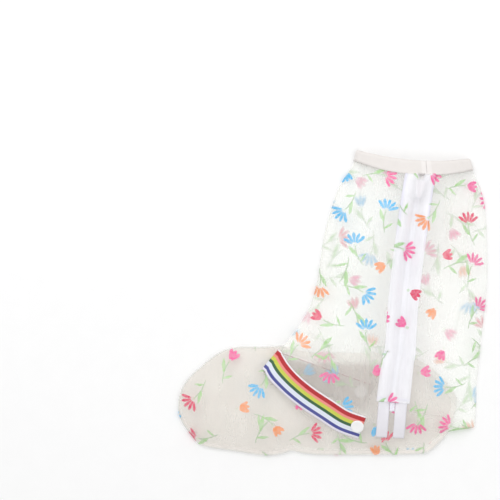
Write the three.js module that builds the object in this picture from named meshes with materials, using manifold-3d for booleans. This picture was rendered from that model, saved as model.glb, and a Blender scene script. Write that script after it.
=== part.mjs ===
// Rain shoe cover lying on its side: a boot-shaped bag of milky film on a soft sole, with a zip
// under a film flap, a bound mouth and an elastic strap over the instep.
// Millimetres, +Z up. The sole lies flat on the ground with its toe towards -X, and the leg of
// the bag is folded over beside it, towards +Y.
import * as THREE from 'three';
import { mergeVertices } from 'three/addons/utils/BufferGeometryUtils.js';
import Module from 'manifold-3d';

const wasm = await Module();
wasm.setup();

// Driving dimensions
const FOOT_LENGTH = 290;
const FOOT_WIDTH = 112;
const LEG_RISE = 211;
const LEG_WIDTH = 172;
const LEG_LOFT = 30;
const TOE_LOFT = 22;
const FILM = 1.0;
const GAP = 0.3;
const SOLE_THICK = 2.5;
const SOLE_LIP = 6;
const FLANGE = 4;
const FOLD_EDGE = 1.6;
const BAND_HEIGHT = 12;
const BAND_THICK = 1.2;
const BAND_JOINT = 0.8;
const TAPE_WIDTH = 12;
const TAPE_THICK = 0.6;
const CHAIN_WIDTH = 5.2;
const CHAIN_THICK = 2;
const SLIDER_LENGTH = 10;
const SLIDER_WIDTH = 9;
const SLIDER_THICK = 1.2;
const PULL_LENGTH = 13;
const PULL_WIDTH = 4.5;
const PULL_THICK = 1;
const FLAP_OVERLAP = 2.5;
const FLAP_THICK = 0.8;
const STRAP_WIDTH = 25;
const STRAP_THICK = 1.2;
const STRAP_EASE = 0.45;
const DISC_RADIUS = 6.8;
const DISC_THICK = 1.4;
const RAMP_LENGTH = 32;

// Levels that follow from the sizes above
const RIM = SOLE_THICK + GAP + FILM;
const POCKET_TOP = RIM + STRAP_THICK + DISC_THICK + 3 * GAP;
const RIDGE_LIFT = POCKET_TOP + GAP;
const BAND_LIFT = BAND_THICK + GAP;
const MIN_HOLLOW = 0.4;
const BELOW = -1;
const ABOVE = LEG_LOFT * 2;

// Sole and foot, from the toe to the heel. along is a share of FOOT_LENGTH from the heel end;
// outer, inner and dome (where the raised part of the film ends) are shares of FOOT_WIDTH from
// the outer edge, and crown is a share of TOE_LOFT.
const FOOT_ROWS = [
  { along: 1.000, outer: 0.398, inner: 0.500, dome: 0.500, crown: 0.00 },
  { along: 0.989, outer: 0.315, inner: 0.602, dome: 0.602, crown: 0.12 },
  { along: 0.958, outer: 0.199, inner: 0.722, dome: 0.722, crown: 0.52 },
  { along: 0.922, outer: 0.097, inner: 0.806, dome: 0.806, crown: 0.76 },
  { along: 0.886, outer: 0.071, inner: 0.886, dome: 0.886, crown: 0.89 },
  { along: 0.832, outer: 0.052, inner: 0.968, dome: 0.968, crown: 1.00 },
  { along: 0.771, outer: 0.028, inner: 0.997, dome: 0.980, crown: 0.94 },
  { along: 0.717, outer: 0.006, inner: 0.994, dome: 0.880, crown: 0.76 },
  { along: 0.671, outer: 0.000, inner: 1.000, dome: 0.680, crown: 0.62 },
  { along: 0.624, outer: 0.020, inner: 1.004, dome: 0.600, crown: 0.56 },
  { along: 0.594, outer: 0.044, inner: 0.994, dome: 0.560, crown: 0.50 },
  { along: 0.563, outer: 0.024, inner: 0.968, dome: 0.520, crown: 0.42 },
  { along: 0.524, outer: 0.011, inner: 0.951, dome: 0.500, crown: 0.20 },
  { along: 0.470, outer: 0.004, inner: 0.951, dome: 0.500, crown: 0.00 },
  { along: 0.226, outer: 0.006, inner: 0.944, dome: 0.500, crown: 0.00 },
  { along: 0.122, outer: 0.017, inner: 0.861, dome: 0.500, crown: 0.00 },
  { along: 0.068, outer: 0.106, inner: 0.759, dome: 0.500, crown: 0.00 },
  { along: 0.022, outer: 0.259, inner: 0.630, dome: 0.500, crown: 0.00 },
  { along: 0.000, outer: 0.435, inner: 0.528, dome: 0.500, crown: 0.00 },
];
const ANKLE_EDGE = 0.951 * FOOT_WIDTH;

// Leg above the foot, from the mouth down. frontX and backX are shares of LEG_WIDTH from the heel
// end of the sole, frontY and backY shares of LEG_RISE above the sole's edge, sag a share of
// LEG_RISE that the section dips in its middle, crown a share of LEG_LOFT, lift a share of
// RIDGE_LIFT at the front edge, and raise a share of BAND_LIFT below the whole section.
const LEG_ROWS = [
  { frontX: -0.607, frontY: 0.998, backX: 0.079, backY: 0.956, sag: 0.032, crown: 0.52, lift: 0, raise: 1 },
  { frontX: -0.621, frontY: 0.948, backX: 0.097, backY: 0.904, sag: 0.030, crown: 0.55, lift: 0, raise: 1 },
  { frontX: -0.653, frontY: 0.897, backX: 0.120, backY: 0.865, sag: 0.024, crown: 0.66, lift: 0, raise: 0.4 },
  { frontX: -0.695, frontY: 0.852, backX: 0.145, backY: 0.820, sag: 0.015, crown: 0.76, lift: 0, raise: 0 },
  { frontX: -0.755, frontY: 0.729, backX: 0.175, backY: 0.714, sag: 0.005, crown: 0.90, lift: 0, raise: 0 },
  { frontX: -0.810, frontY: 0.557, backX: 0.187, backY: 0.567, sag: 0, crown: 1.00, lift: 0, raise: 0 },
  { frontX: -0.846, frontY: 0.360, backX: 0.190, backY: 0.419, sag: 0, crown: 1.00, lift: 0, raise: 0 },
  { frontX: -0.888, frontY: 0.236, backX: 0.181, backY: 0.276, sag: 0, crown: 0.98, lift: 0.05, raise: 0 },
  { frontX: -0.955, frontY: 0.138, backX: 0.166, backY: 0.163, sag: 0, crown: 0.95, lift: 0.4, raise: 0 },
  { frontX: -1.039, frontY: 0.049, backX: 0.151, backY: 0.059, sag: 0, crown: 0.92, lift: 0.9, raise: 0 },
];

// Leg over the foot, from the ankle down to the outer edge of the sole. frontX and backX are
// shares of FOOT_LENGTH from the heel end, frontY and backY shares of FOOT_WIDTH.
const ANKLE_ROWS = [
  { frontX: -0.649, frontY: 0.940, backX: 0.083, backY: 0.889, sag: 0, crown: 0.90, lift: 1.0, raise: 0 },
  { frontX: -0.685, frontY: 0.824, backX: 0.077, backY: 0.741, sag: 0, crown: 0.87, lift: 1.0, raise: 0 },
  { frontX: -0.699, frontY: 0.750, backX: 0.074, backY: 0.648, sag: 0, crown: 0.84, lift: 0.9, raise: 0 },
  { frontX: -0.689, frontY: 0.556, backX: 0.072, backY: 0.491, sag: 0, crown: 0.76, lift: 0.5, raise: 0 },
  { frontX: -0.656, frontY: 0.333, backX: 0.070, backY: 0.361, sag: 0, crown: 0.64, lift: 0.3, raise: 0 },
  { frontX: -0.628, frontY: 0.204, backX: 0.066, backY: 0.255, sag: 0, crown: 0.54, lift: 0.2, raise: 0 },
  { frontX: -0.612, frontY: 0.132, backX: -0.030, backY: 0.212, sag: 0, crown: 0.43, lift: 0.1, raise: 0 },
  { frontX: -0.594, frontY: 0.080, backX: -0.076, backY: 0.118, sag: 0, crown: 0.32, lift: 0.0, raise: 0 },
  { frontX: -0.564, frontY: 0.042, backX: -0.122, backY: 0.044, sag: 0, crown: 0.20, lift: 0.0, raise: 0 },
];

// Soft folds in the near film: from one place to another, with the half width of the fold as a
// share of FOOT_WIDTH and its depth as a share of LEG_LOFT, negative where the fold stands up.
const FOLD_ROWS = [
  { fromX: -0.345, fromY: 0.93, toX: -0.340, toY: 0.34, width: 0.045, depth: -0.05 },
  { fromX: -0.560, fromY: 0.98, toX: -0.220, toY: 0.95, width: 0.070, depth: 0.10 },
  { fromX: -0.070, fromY: 0.30, toX: 0.060, toY: 0.56, width: 0.045, depth: 0.09 },
  { fromX: -0.150, fromY: 0.44, toX: 0.050, toY: 0.40, width: 0.040, depth: 0.07 },
  { fromX: -0.880, fromY: 0.76, toX: -0.890, toY: 0.30, width: 0.040, depth: 0.05 },
  { fromX: -0.800, fromY: 0.86, toX: -0.790, toY: 0.40, width: 0.040, depth: 0.05 },
  { fromX: -0.560, fromY: 1.10, toX: -0.390, toY: 1.30, width: 0.060, depth: 0.09 },
  { fromX: -0.050, fromY: 1.60, toX: -0.020, toY: 2.30, width: 0.070, depth: 0.07 },
  { fromX: -0.440, fromY: 1.70, toX: -0.400, toY: 2.40, width: 0.060, depth: 0.05 },
];

// Middle line of the zip: x as a share of LEG_WIDTH, rise as a share of LEG_RISE above the sole's
// edge, and drop as a share of FOOT_WIDTH below it.
const ZIP_ROWS = [
  { x: -0.207, rise: 0.925, drop: 0 },
  { x: -0.236, rise: 0.820, drop: 0 },
  { x: -0.299, rise: 0.483, drop: 0 },
  { x: -0.332, rise: 0.236, drop: 0 },
  { x: -0.356, rise: 0.000, drop: 0.02 },
  { x: -0.399, rise: 0.000, drop: 0.48 },
  { x: -0.411, rise: 0.000, drop: 0.785 },
];

// Where each piece of the zip starts and ends, as shares of that line from its top
const TAPE_SHARES = { start: 0, end: 1 };
const CHAIN_SHARES = { start: 0, end: 0.9 };
const FLAP_SHARES = { start: 0, end: 0.87 };
const SLIDER_SHARE = 0.07;
const SLIT_SHARE = 0.94;

// Strap: middle line from the outer disc to the ridge, then the far end under the leg. x is a
// share of FOOT_LENGTH and y of FOOT_WIDTH.
const STRAP_ROWS = [
  { x: -0.344, y: 0.264 },
  { x: -0.409, y: 0.324 },
  { x: -0.477, y: 0.435 },
  { x: -0.552, y: 0.565 },
  { x: -0.610, y: 0.694 },
  { x: -0.646, y: 0.800 },
];
const STRAP_TURN = { x: -0.664, y: 0.880 };
const STRAP_TAIL = { x: -0.323, y: 0.565 };
const RIDGE_ANGLE = THREE.MathUtils.degToRad(49.5);
const TURN_INSET = 1.6;
const OUTER_DISC = { x: -0.362, y: 0.278 };
const INNER_DISC = { x: -0.346, y: 0.588 };
const POCKET_MARGIN = 2.5;

// Monotone cubic between b and c, so that tables never overshoot their rows
function ease(a, b, c, d, t) {
  const before = b - a;
  const span = c - b;
  const after = d - c;
  const start = before * span > 0 ? (2 * before * span) / (before + span) : 0;
  const end = span * after > 0 ? (2 * span * after) / (span + after) : 0;
  const t2 = t * t;
  const t3 = t2 * t;
  return b * (2 * t3 - 3 * t2 + 1) + start * (t3 - 2 * t2 + t) + c * (3 * t2 - 2 * t3) + end * (t3 - t2);
}

function refine(rows, steps) {
  const columns = Object.keys(rows[0]);
  const result = [];
  const extended = (column, i) => {
    if (i < 0) return 2 * rows[0][column] - rows[1][column];
    const last = rows.length - 1;
    if (i > last) return 2 * rows[last][column] - rows[last - 1][column];
    return rows[i][column];
  };
  for (let i = 0; i < rows.length - 1; i += 1) {
    for (let step = 0; step < steps; step += 1) {
      const row = {};
      for (const column of columns) {
        const near = [-1, 0, 1, 2].map((k) => extended(column, i + k));
        row[column] = ease(...near, step / steps);
      }
      result.push(row);
    }
  }
  result.push({ ...rows[rows.length - 1] });
  return result;
}

// Cross-section of a soft bag that lies flat: 0 at both edges and 1 in the middle
const SHAPE = 2.4;
const FULLNESS = 0.8;
const bulge = (t) => (1 - Math.abs(2 * t - 1) ** SHAPE) ** FULLNESS;
const bulgeStart = (height) => 0.5 - 0.5 * (1 - height ** (1 / FULLNESS)) ** (1 / SHAPE);
const spread = (i, count) => 0.5 - 0.5 * Math.cos((Math.PI * i) / count);

// Depth of the folds at a place. A fold fades towards both of its ends.
const FOLD_TAPER = 0.1;
function foldDepth(x, y) {
  let depth = 0;
  for (const fold of FOLD_ROWS) {
    const from = new THREE.Vector2(fold.fromX * FOOT_LENGTH, fold.fromY * FOOT_WIDTH);
    const to = new THREE.Vector2(fold.toX * FOOT_LENGTH, fold.toY * FOOT_WIDTH);
    const line = to.clone().sub(from);
    const offset = new THREE.Vector2(x, y).sub(from);
    const share = THREE.MathUtils.clamp(offset.dot(line) / line.lengthSq(), 0, 1);
    const away = offset.sub(line.multiplyScalar(share)).length() / (fold.width * FOOT_WIDTH);
    const taper = Math.sin(Math.PI * (FOLD_TAPER + (1 - 2 * FOLD_TAPER) * share));
    depth += fold.depth * LEG_LOFT * Math.exp(-away * away) * taper;
  }
  return depth;
}

// A closed solid between two sheets of points, one section after another
function slab(sections) {
  const across = sections[0].top.length;
  const last = sections.length - 1;
  const positions = [];
  const index = [];
  for (const section of sections) {
    for (const point of [...section.top, ...section.under]) {
      positions.push(point.x, point.y, point.z);
    }
  }
  const top = (i, j) => 2 * i * across + j;
  const under = (i, j) => (2 * i + 1) * across + j;
  const quad = (a, b, c, d) => index.push(a, b, c, a, c, d);
  for (let i = 0; i < last; i += 1) {
    for (let j = 0; j < across - 1; j += 1) {
      quad(top(i, j), top(i + 1, j), top(i + 1, j + 1), top(i, j + 1));
      quad(under(i, j), under(i, j + 1), under(i + 1, j + 1), under(i + 1, j));
    }
    const end = across - 1;
    quad(top(i, 0), under(i, 0), under(i + 1, 0), top(i + 1, 0));
    quad(top(i, end), top(i + 1, end), under(i + 1, end), under(i, end));
  }
  for (let j = 0; j < across - 1; j += 1) {
    quad(top(0, j), top(0, j + 1), under(0, j + 1), under(0, j));
    quad(top(last, j), under(last, j), under(last, j + 1), top(last, j + 1));
  }
  const geometry = new THREE.BufferGeometry();
  geometry.setAttribute('position', new THREE.Float32BufferAttribute(positions, 3));
  geometry.setIndex(index);
  return geometry;
}

function toSolid(geometry) {
  const bare = geometry.clone();
  bare.deleteAttribute('normal');
  bare.deleteAttribute('uv');
  const merged = mergeVertices(bare, 1e-4);
  return new wasm.Manifold(new wasm.Mesh({
    numProp: 3,
    vertProperties: new Float32Array(merged.attributes.position.array),
    triVerts: new Uint32Array(merged.index.array),
  }));
}

// The one body of a cut solid, without the specks that a cut can leave where two curved walls meet
function mainBody(solid) {
  return solid.decompose().sort((a, b) => b.volume() - a.volume())[0];
}

function toGeometry(solid) {
  const mesh = solid.getMesh();
  const geometry = new THREE.BufferGeometry();
  geometry.setAttribute('position', new THREE.Float32BufferAttribute(mesh.vertProperties, 3));
  geometry.setIndex(Array.from(mesh.triVerts));
  return geometry;
}

function prism(points, low, high) {
  const shape = new THREE.Shape(points);
  const geometry = new THREE.ExtrudeGeometry(shape, { depth: high - low, bevelEnabled: false });
  geometry.translate(0, 0, low);
  return geometry;
}

// Closed outline moved outwards (or inwards, where the distance is negative)
function offsetOutline(points, distance) {
  const count = points.length;
  return points.map((point, i) => {
    const before = point.clone().sub(points[(i + count - 1) % count]).normalize();
    const after = points[(i + 1) % count].clone().sub(point).normalize();
    const normal = new THREE.Vector2(before.y + after.y, -before.x - after.x).normalize();
    const mitre = Math.max(0.5, normal.x * after.y - normal.y * after.x);
    return point.clone().addScaledVector(normal, distance / mitre);
  });
}

// Sole: its outline runs along the outer edge to the heel, and back along the inner edge
const footRows = refine(FOOT_ROWS, 2);
const footPoint = (along, across) => new THREE.Vector2(-along * FOOT_LENGTH, across * FOOT_WIDTH);
const soleOutline = [
  ...footRows.map((row) => footPoint(row.along, row.outer)),
  ...footRows.map((row) => footPoint(row.along, row.inner)).reverse(),
];
const filmOutline = offsetOutline(soleOutline, GAP + FILM);

// Foot of the bag: a flange of film round the sole, and a dome over the toe
const DOME_STEPS = 12;
function footZone(i) {
  const outer = filmOutline[i];
  const inner = filmOutline[filmOutline.length - 1 - i];
  const row = footRows[i];
  const width = inner.distanceTo(outer);
  const share = Math.min((row.dome - row.outer) / (row.inner - row.outer), 1 - FLANGE / width);
  return { outer, inner, width, start: FLANGE / width, end: share, height: row.crown * TOE_LOFT };
}

function footHeight(point, height, t) {
  const rise = bulge(t);
  const fold = foldDepth(point.x, point.y) * rise * Math.min(1, height / TOE_LOFT);
  return RIM + Math.max(0, height * rise - fold);
}

function footOuterSections() {
  return footRows.map((row, i) => {
    const zone = footZone(i);
    const places = [0];
    for (let j = 0; j <= DOME_STEPS; j += 1) {
      places.push(zone.start + (zone.end - zone.start) * spread(j, DOME_STEPS));
    }
    places.push(1);
    const top = places.map((place) => {
      const point = zone.outer.clone().lerp(zone.inner, place);
      const t = THREE.MathUtils.clamp((place - zone.start) / (zone.end - zone.start), 0, 1);
      return new THREE.Vector3(point.x, point.y, footHeight(point, zone.height, t));
    });
    return { top, under: top.map((point) => new THREE.Vector3(point.x, point.y, 0)) };
  });
}

function footHollowSections() {
  const sections = [];
  footRows.forEach((row, i) => {
    const zone = footZone(i);
    const height = zone.height - FILM;
    if (height < 2 * MIN_HOLLOW) return;
    const wall = FILM / zone.width;
    const first = bulgeStart(MIN_HOLLOW / height);
    const top = [];
    for (let j = 0; j <= DOME_STEPS; j += 1) {
      const t = first + (1 - 2 * first) * spread(j, DOME_STEPS);
      const place = zone.start + wall + (zone.end - zone.start - 2 * wall) * t;
      const point = zone.outer.clone().lerp(zone.inner, place);
      const z = Math.max(RIM + MIN_HOLLOW, footHeight(point, height, t));
      top.push(new THREE.Vector3(point.x, point.y, z));
    }
    sections.push({ top, under: top.map((point) => new THREE.Vector3(point.x, point.y, RIM - FILM / 2)) });
  });
  return sections;
}

// Leg of the bag: sections from its front fold to its back fold
const LEG_STEPS = 16;
const LIFT_REACH = 0.3;
const legRows = [
  ...LEG_ROWS.map((row) => ({
    fx: row.frontX * LEG_WIDTH,
    fy: ANKLE_EDGE + row.frontY * LEG_RISE,
    bx: row.backX * LEG_WIDTH,
    by: ANKLE_EDGE + row.backY * LEG_RISE,
    sag: row.sag * LEG_RISE,
    height: row.crown * LEG_LOFT,
    lift: row.lift * RIDGE_LIFT,
    raise: row.raise * BAND_LIFT,
  })),
  ...ANKLE_ROWS.map((row) => ({
    fx: row.frontX * FOOT_LENGTH,
    fy: row.frontY * FOOT_WIDTH,
    bx: row.backX * FOOT_LENGTH,
    by: row.backY * FOOT_WIDTH,
    sag: row.sag * LEG_RISE,
    height: row.crown * LEG_LOFT,
    lift: row.lift * RIDGE_LIFT,
    raise: row.raise * BAND_LIFT,
  })),
];

// One section, grown outwards by a distance, or inwards where it is negative. A hollow inside
// the film's own is also drawn in at both folds, so that it stays inside it.
function legSection(row, grow) {
  const front = new THREE.Vector2(row.fx, row.fy);
  const back = new THREE.Vector2(row.bx, row.by);
  const width = front.distanceTo(back);
  const height = row.height + 2 * grow;
  const first = grow < 0 ? bulgeStart(MIN_HOLLOW / height) : 0;
  const edge = grow < 0 ? 0 : FOLD_EDGE + 2 * grow;
  const draw = grow < -FILM ? FILM + 2 * (-grow - FILM) : 0;
  const top = [];
  const under = [];
  for (let j = 0; j <= LEG_STEPS; j += 1) {
    const t = first + (1 - 2 * first) * spread(j, LEG_STEPS);
    const place = (draw - grow + (width + 2 * grow - 2 * draw) * t) / width;
    const point = front.clone().lerp(back, place);
    point.y -= row.sag * 4 * place * (1 - place);
    const fall = Math.max(0, 1 - place / LIFT_REACH) ** 2;
    const low = row.raise + row.lift * fall - grow;
    const rise = bulge(t);
    const fold = foldDepth(point.x, point.y) * rise * Math.min(1, row.height / LEG_LOFT);
    const high = low + Math.max(MIN_HOLLOW, edge + (height - edge) * rise - fold);
    top.push(new THREE.Vector3(point.x, point.y, high));
    under.push(new THREE.Vector3(point.x, point.y, low));
  }
  return { top, under };
}

// A row moved on past the mouth by a distance along both folds
function pastMouth(rows, distance) {
  const [first, second] = rows;
  const front = new THREE.Vector2(first.fx - second.fx, first.fy - second.fy).setLength(distance);
  const back = new THREE.Vector2(first.bx - second.bx, first.by - second.by).setLength(distance);
  return {
    ...first,
    fx: first.fx + front.x,
    fy: first.fy + front.y,
    bx: first.bx + back.x,
    by: first.by + back.y,
  };
}

// The last row drawn back from the sole's edge, so that the hollow keeps a wall there
function drawnBack(rows, distance) {
  const last = rows[rows.length - 1];
  return [...rows.slice(0, -1), { ...last, fy: last.fy + distance, by: last.by + distance }];
}

const fineLegRows = refine(legRows, 2);
const legOuter = slab(fineLegRows.map((row) => legSection(row, 0)));
const legHollowRows = drawnBack([pastMouth(fineLegRows, FLANGE), ...fineLegRows.slice(1)], FILM);
const legHollow = slab(legHollowRows.map((row) => legSection(row, -FILM)));

// Pocket: the pleat of film beside the ankle, which holds the far half of the strap
const at = (place) => new THREE.Vector2(place.x * FOOT_LENGTH, place.y * FOOT_WIDTH);
const turn = at(STRAP_TURN);
const tail = at(STRAP_TAIL);
const tailWay = tail.clone().sub(turn).normalize();
const tailSide = new THREE.Vector2(-tailWay.y, tailWay.x);
const pocketHalf = STRAP_WIDTH / 2 + POCKET_MARGIN;

function pocketOutline(grow, left) {
  const low = turn.clone().addScaledVector(tailSide, -pocketHalf - grow);
  const end = tail.clone().addScaledVector(tailWay, POCKET_MARGIN + grow);
  const corner = end.clone().addScaledVector(tailSide, -pocketHalf - grow);
  const rampEnd = ANKLE_EDGE + RAMP_LENGTH;
  const leanX = end.x + ((rampEnd - end.y) * tailSide.x) / tailSide.y;
  return [
    low.clone().addScaledVector(tailWay, -left),
    corner,
    new THREE.Vector2(leanX, rampEnd),
    new THREE.Vector2(turn.x - left, rampEnd),
  ];
}

// Space under the leg beside and over the sole, with a ramp down to the ground past its edge
function pocketSpace(grow) {
  const block = toSolid(prism(pocketOutline(grow, STRAP_WIDTH * 2), BELOW, POCKET_TOP + grow));
  const far = FOOT_LENGTH;
  const slope = POCKET_TOP / RAMP_LENGTH;
  const lift = grow * Math.hypot(1, slope);
  const edgeTop = POCKET_TOP + lift + slope * FLANGE;
  const profile = new THREE.Shape([
    new THREE.Vector2(BELOW - FOOT_WIDTH, BELOW),
    new THREE.Vector2(ANKLE_EDGE + RAMP_LENGTH, BELOW),
    new THREE.Vector2(ANKLE_EDGE + RAMP_LENGTH, lift),
    new THREE.Vector2(ANKLE_EDGE - FLANGE, edgeTop),
    new THREE.Vector2(BELOW - FOOT_WIDTH, edgeTop),
  ]);
  const ramp = new THREE.ExtrudeGeometry(profile, { depth: 2 * far, bevelEnabled: false });
  ramp.rotateX(Math.PI / 2);
  ramp.rotateZ(Math.PI / 2);
  ramp.translate(-far, 0, 0);
  return block.intersect(toSolid(ramp));
}

// Film: outer shape less its hollow, the sole's seat, the window over the sole and the zip's slit
const pocket = pocketSpace(0);
const pocketWalled = pocketSpace(FILM);
const pocketOverFoot = toSolid(prism(pocketOutline(0, STRAP_WIDTH / 4), RIM, POCKET_TOP));
const footOuter = toSolid(slab(footOuterSections())).subtract(pocketOverFoot);
const bagOuter = toSolid(legOuter).subtract(pocket).add(footOuter);
const soleCover = toSolid(prism(filmOutline, BELOW, RIM));
const soleSeat = toSolid(prism(offsetOutline(soleOutline, GAP), BELOW, SOLE_THICK + GAP));
const pleatCover = toSolid(prism(pocketOutline(FILM, STRAP_WIDTH), BELOW, ABOVE));
const window = toSolid(prism(offsetOutline(soleOutline, -SOLE_LIP), BELOW, RIM + MIN_HOLLOW / 2))
  .subtract(pleatCover);
const hollow = toSolid(legHollow).subtract(pocketWalled)
  .add(toSolid(slab(footHollowSections())).subtract(pocketWalled))
  .subtract(soleCover);

// Heights on the outside of the bag, found by looking straight down at it
const bothSides = new THREE.MeshStandardMaterial({ side: THREE.DoubleSide });
const bagMesh = new THREE.Mesh(toGeometry(bagOuter), bothSides);
const probe = new THREE.Raycaster();
const DOWN = new THREE.Vector3(0, 0, -1);
function bagTop(x, y) {
  probe.set(new THREE.Vector3(x, y, ABOVE * 2), DOWN);
  const hits = probe.intersectObject(bagMesh);
  return hits.length > 0 ? hits[0].point.z : 0;
}

// Heights for a grid of places laid over the bag: at each place, and raised where the straight
// line to a neighbour would cut into the film
function layOver(grid) {
  const heights = grid.map((row) => row.map((place) => bagTop(place.x, place.y)));
  const raised = heights.map((row) => row.map(() => 0));
  const compare = (i, j, k, l) => {
    const x = (grid[i][j].x + grid[k][l].x) / 2;
    const y = (grid[i][j].y + grid[k][l].y) / 2;
    const short = bagTop(x, y) - (heights[i][j] + heights[k][l]) / 2;
    raised[i][j] = Math.max(raised[i][j], short);
    raised[k][l] = Math.max(raised[k][l], short);
  };
  for (let i = 0; i < grid.length; i += 1) {
    for (let j = 0; j < grid[i].length; j += 1) {
      const down = i + 1 < grid.length;
      const along = j + 1 < grid[i].length;
      if (down) compare(i, j, i + 1, j);
      if (along) compare(i, j, i, j + 1);
      if (down && along) compare(i, j, i + 1, j + 1);
      if (down && along) compare(i + 1, j, i, j + 1);
    }
  }
  return heights.map((row, i) => row.map((height, j) => height + raised[i][j]));
}

// Zip line: points and sideways directions along it
const zipCurve = new THREE.CatmullRomCurve3(ZIP_ROWS.map((row) => new THREE.Vector3(
  row.x * LEG_WIDTH,
  ANKLE_EDGE + row.rise * LEG_RISE - row.drop * FOOT_WIDTH,
  0,
)), false, 'centripetal');

function zipFrame(share) {
  const point = zipCurve.getPointAt(share);
  const way = zipCurve.getTangentAt(share);
  return { point, side: new THREE.Vector3(-way.y, way.x, 0).normalize() };
}

const TAPE_INNER = CHAIN_WIDTH / 2 + GAP;
const TAPE_OUTER = TAPE_INNER + TAPE_WIDTH;
const ZIP_STEPS = 26;
const BED_HALF = TAPE_OUTER + FLAP_OVERLAP;
const BED_COLUMNS = [-1, -0.5, 0, 0.5, 1].map((share) => share * BED_HALF);

// The bed that every piece of the zip lies on, one row of heights for each step down the line
const zipSteps = Array.from({ length: ZIP_STEPS + 1 }, (_, i) => zipFrame(i / ZIP_STEPS));
const zipPlace = (step, away) => (
  new THREE.Vector2(step.point.x, step.point.y).addScaledVector(step.side, away)
);
const bedHeights = layOver(zipSteps.map((step) => BED_COLUMNS.map((away) => zipPlace(step, away))));

function bedHeight(i, away) {
  const columns = BED_COLUMNS.length - 1;
  const place = ((away + BED_HALF) / (2 * BED_HALF)) * columns;
  const column = THREE.MathUtils.clamp(Math.floor(place), 0, columns - 1);
  return THREE.MathUtils.lerp(bedHeights[i][column], bedHeights[i][column + 1], place - column);
}

// A strip along the zip. Each column has a sideways place and two heights above the bed.
function zipStrip(span, columnsAt) {
  const sections = [];
  for (let i = Math.round(span.start * ZIP_STEPS); i <= Math.round(span.end * ZIP_STEPS); i += 1) {
    const columns = columnsAt(i / ZIP_STEPS).sort((a, b) => a.away - b.away);
    const sheet = (level) => columns.map((column) => {
      const place = zipPlace(zipSteps[i], column.away);
      return new THREE.Vector3(place.x, place.y, bedHeight(i, column.away) + column[level]);
    });
    sections.push({ top: sheet('high'), under: sheet('low') });
  }
  return slab(sections);
}

const CHAIN_EDGE = 0.7;
const tapeColumns = (sign) => () => [0, 0.5, 1].map((share) => ({
  away: sign * (TAPE_INNER + share * TAPE_WIDTH),
  low: GAP,
  high: GAP + TAPE_THICK,
}));
const chainColumns = () => [-0.5, -0.25, 0.25, 0.5].map((share) => ({
  away: share * CHAIN_WIDTH,
  low: GAP,
  high: GAP + CHAIN_THICK * (Math.abs(share) < 0.5 ? 1 : CHAIN_EDGE),
}));

// The flap lies on the film at both edges, over the tapes, and arches over chain and slider
const CHAIN_TOP = GAP + CHAIN_THICK + GAP;
const SLIDER_TOP = CHAIN_TOP + SLIDER_THICK + PULL_THICK + 4 * GAP;
const SLIDER_ZONE_SHARE = 0.075;
const ZONE_EASE = 1.6;
const BESIDE_SLIDER = 0.9;
const OVER_TAPE = 0.25;
function flapColumns(share) {
  const fromSlider = Math.abs(share - SLIDER_SHARE);
  const near = THREE.MathUtils.smoothstep(fromSlider, SLIDER_ZONE_SHARE, SLIDER_ZONE_SHARE * ZONE_EASE);
  const middle = SLIDER_TOP + (CHAIN_TOP - SLIDER_TOP) * near;
  const beside = SLIDER_TOP * BESIDE_SLIDER + (CHAIN_TOP - SLIDER_TOP) * BESIDE_SLIDER * near;
  const overTape = 2 * GAP + TAPE_THICK;
  const rows = [
    { away: TAPE_OUTER + FLAP_OVERLAP, low: GAP },
    { away: TAPE_OUTER + GAP, low: overTape },
    { away: SLIDER_WIDTH, low: overTape + OVER_TAPE * (middle - overTape) },
    { away: SLIDER_WIDTH / 2 + GAP, low: beside },
    { away: 0, low: middle },
  ];
  const mirrored = rows.slice(0, -1).reverse().map((row) => ({ ...row, away: -row.away }));
  return [...rows, ...mirrored].map((row) => ({ ...row, high: row.low + FLAP_THICK }));
}

const slitWalls = [];
for (const sign of [-1, 1]) {
  const side = [];
  for (const step of zipSteps.slice(0, Math.round(SLIT_SHARE * ZIP_STEPS))) {
    side.push(zipPlace(step, (sign * CHAIN_WIDTH) / 2));
  }
  slitWalls.push(sign < 0 ? side : side.reverse());
}
const slitTop = zipFrame(0).point;
const slitWay = zipCurve.getTangentAt(0);
const pastTop = new THREE.Vector2(slitTop.x, slitTop.y).addScaledVector(slitWay, -2 * BAND_HEIGHT);
const slitSide = new THREE.Vector2(-slitWay.y, slitWay.x).multiplyScalar(CHAIN_WIDTH / 2);
const slitOutline = [
  pastTop.clone().sub(slitSide),
  ...slitWalls[0],
  ...slitWalls[1],
  pastTop.clone().add(slitSide),
];
const slit = toSolid(prism(slitOutline, POCKET_TOP + 2 * FILM, ABOVE));
const film = bagOuter.subtract(hollow).subtract(soleSeat).subtract(window).subtract(slit);

// Band: a strip folded over the mouth's edge, outside and inside, open at the zip
function rowsDownTo(depth) {
  const rows = [fineLegRows[0]];
  let run = 0;
  for (let i = 1; i < fineLegRows.length; i += 1) {
    const last = fineLegRows[i - 1];
    const next = fineLegRows[i];
    const step = Math.hypot(next.fx - last.fx, next.fy - last.fy);
    if (run + step >= depth) {
      const share = (depth - run) / step;
      const cut = {};
      for (const column of Object.keys(last)) {
        cut[column] = last[column] + (next[column] - last[column]) * share;
      }
      return [...rows, cut];
    }
    rows.push(next);
    run += step;
  }
  return rows;
}

function bandBlock(grow, past, depth) {
  const rows = [pastMouth(fineLegRows, past), ...rowsDownTo(depth)];
  return toSolid(slab(rows.map((row) => legSection(row, grow))));
}

function bandJointBlock() {
  const half = slitSide.clone().multiplyScalar(BAND_JOINT / CHAIN_WIDTH);
  const below = new THREE.Vector2(slitTop.x, slitTop.y).addScaledVector(slitWay, BAND_HEIGHT);
  const corners = [
    pastTop.clone().sub(half),
    below.clone().sub(half),
    below.clone().add(half),
    pastTop.clone().add(half),
  ];
  return toSolid(prism(corners, POCKET_TOP + 2 * FILM, ABOVE));
}

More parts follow.
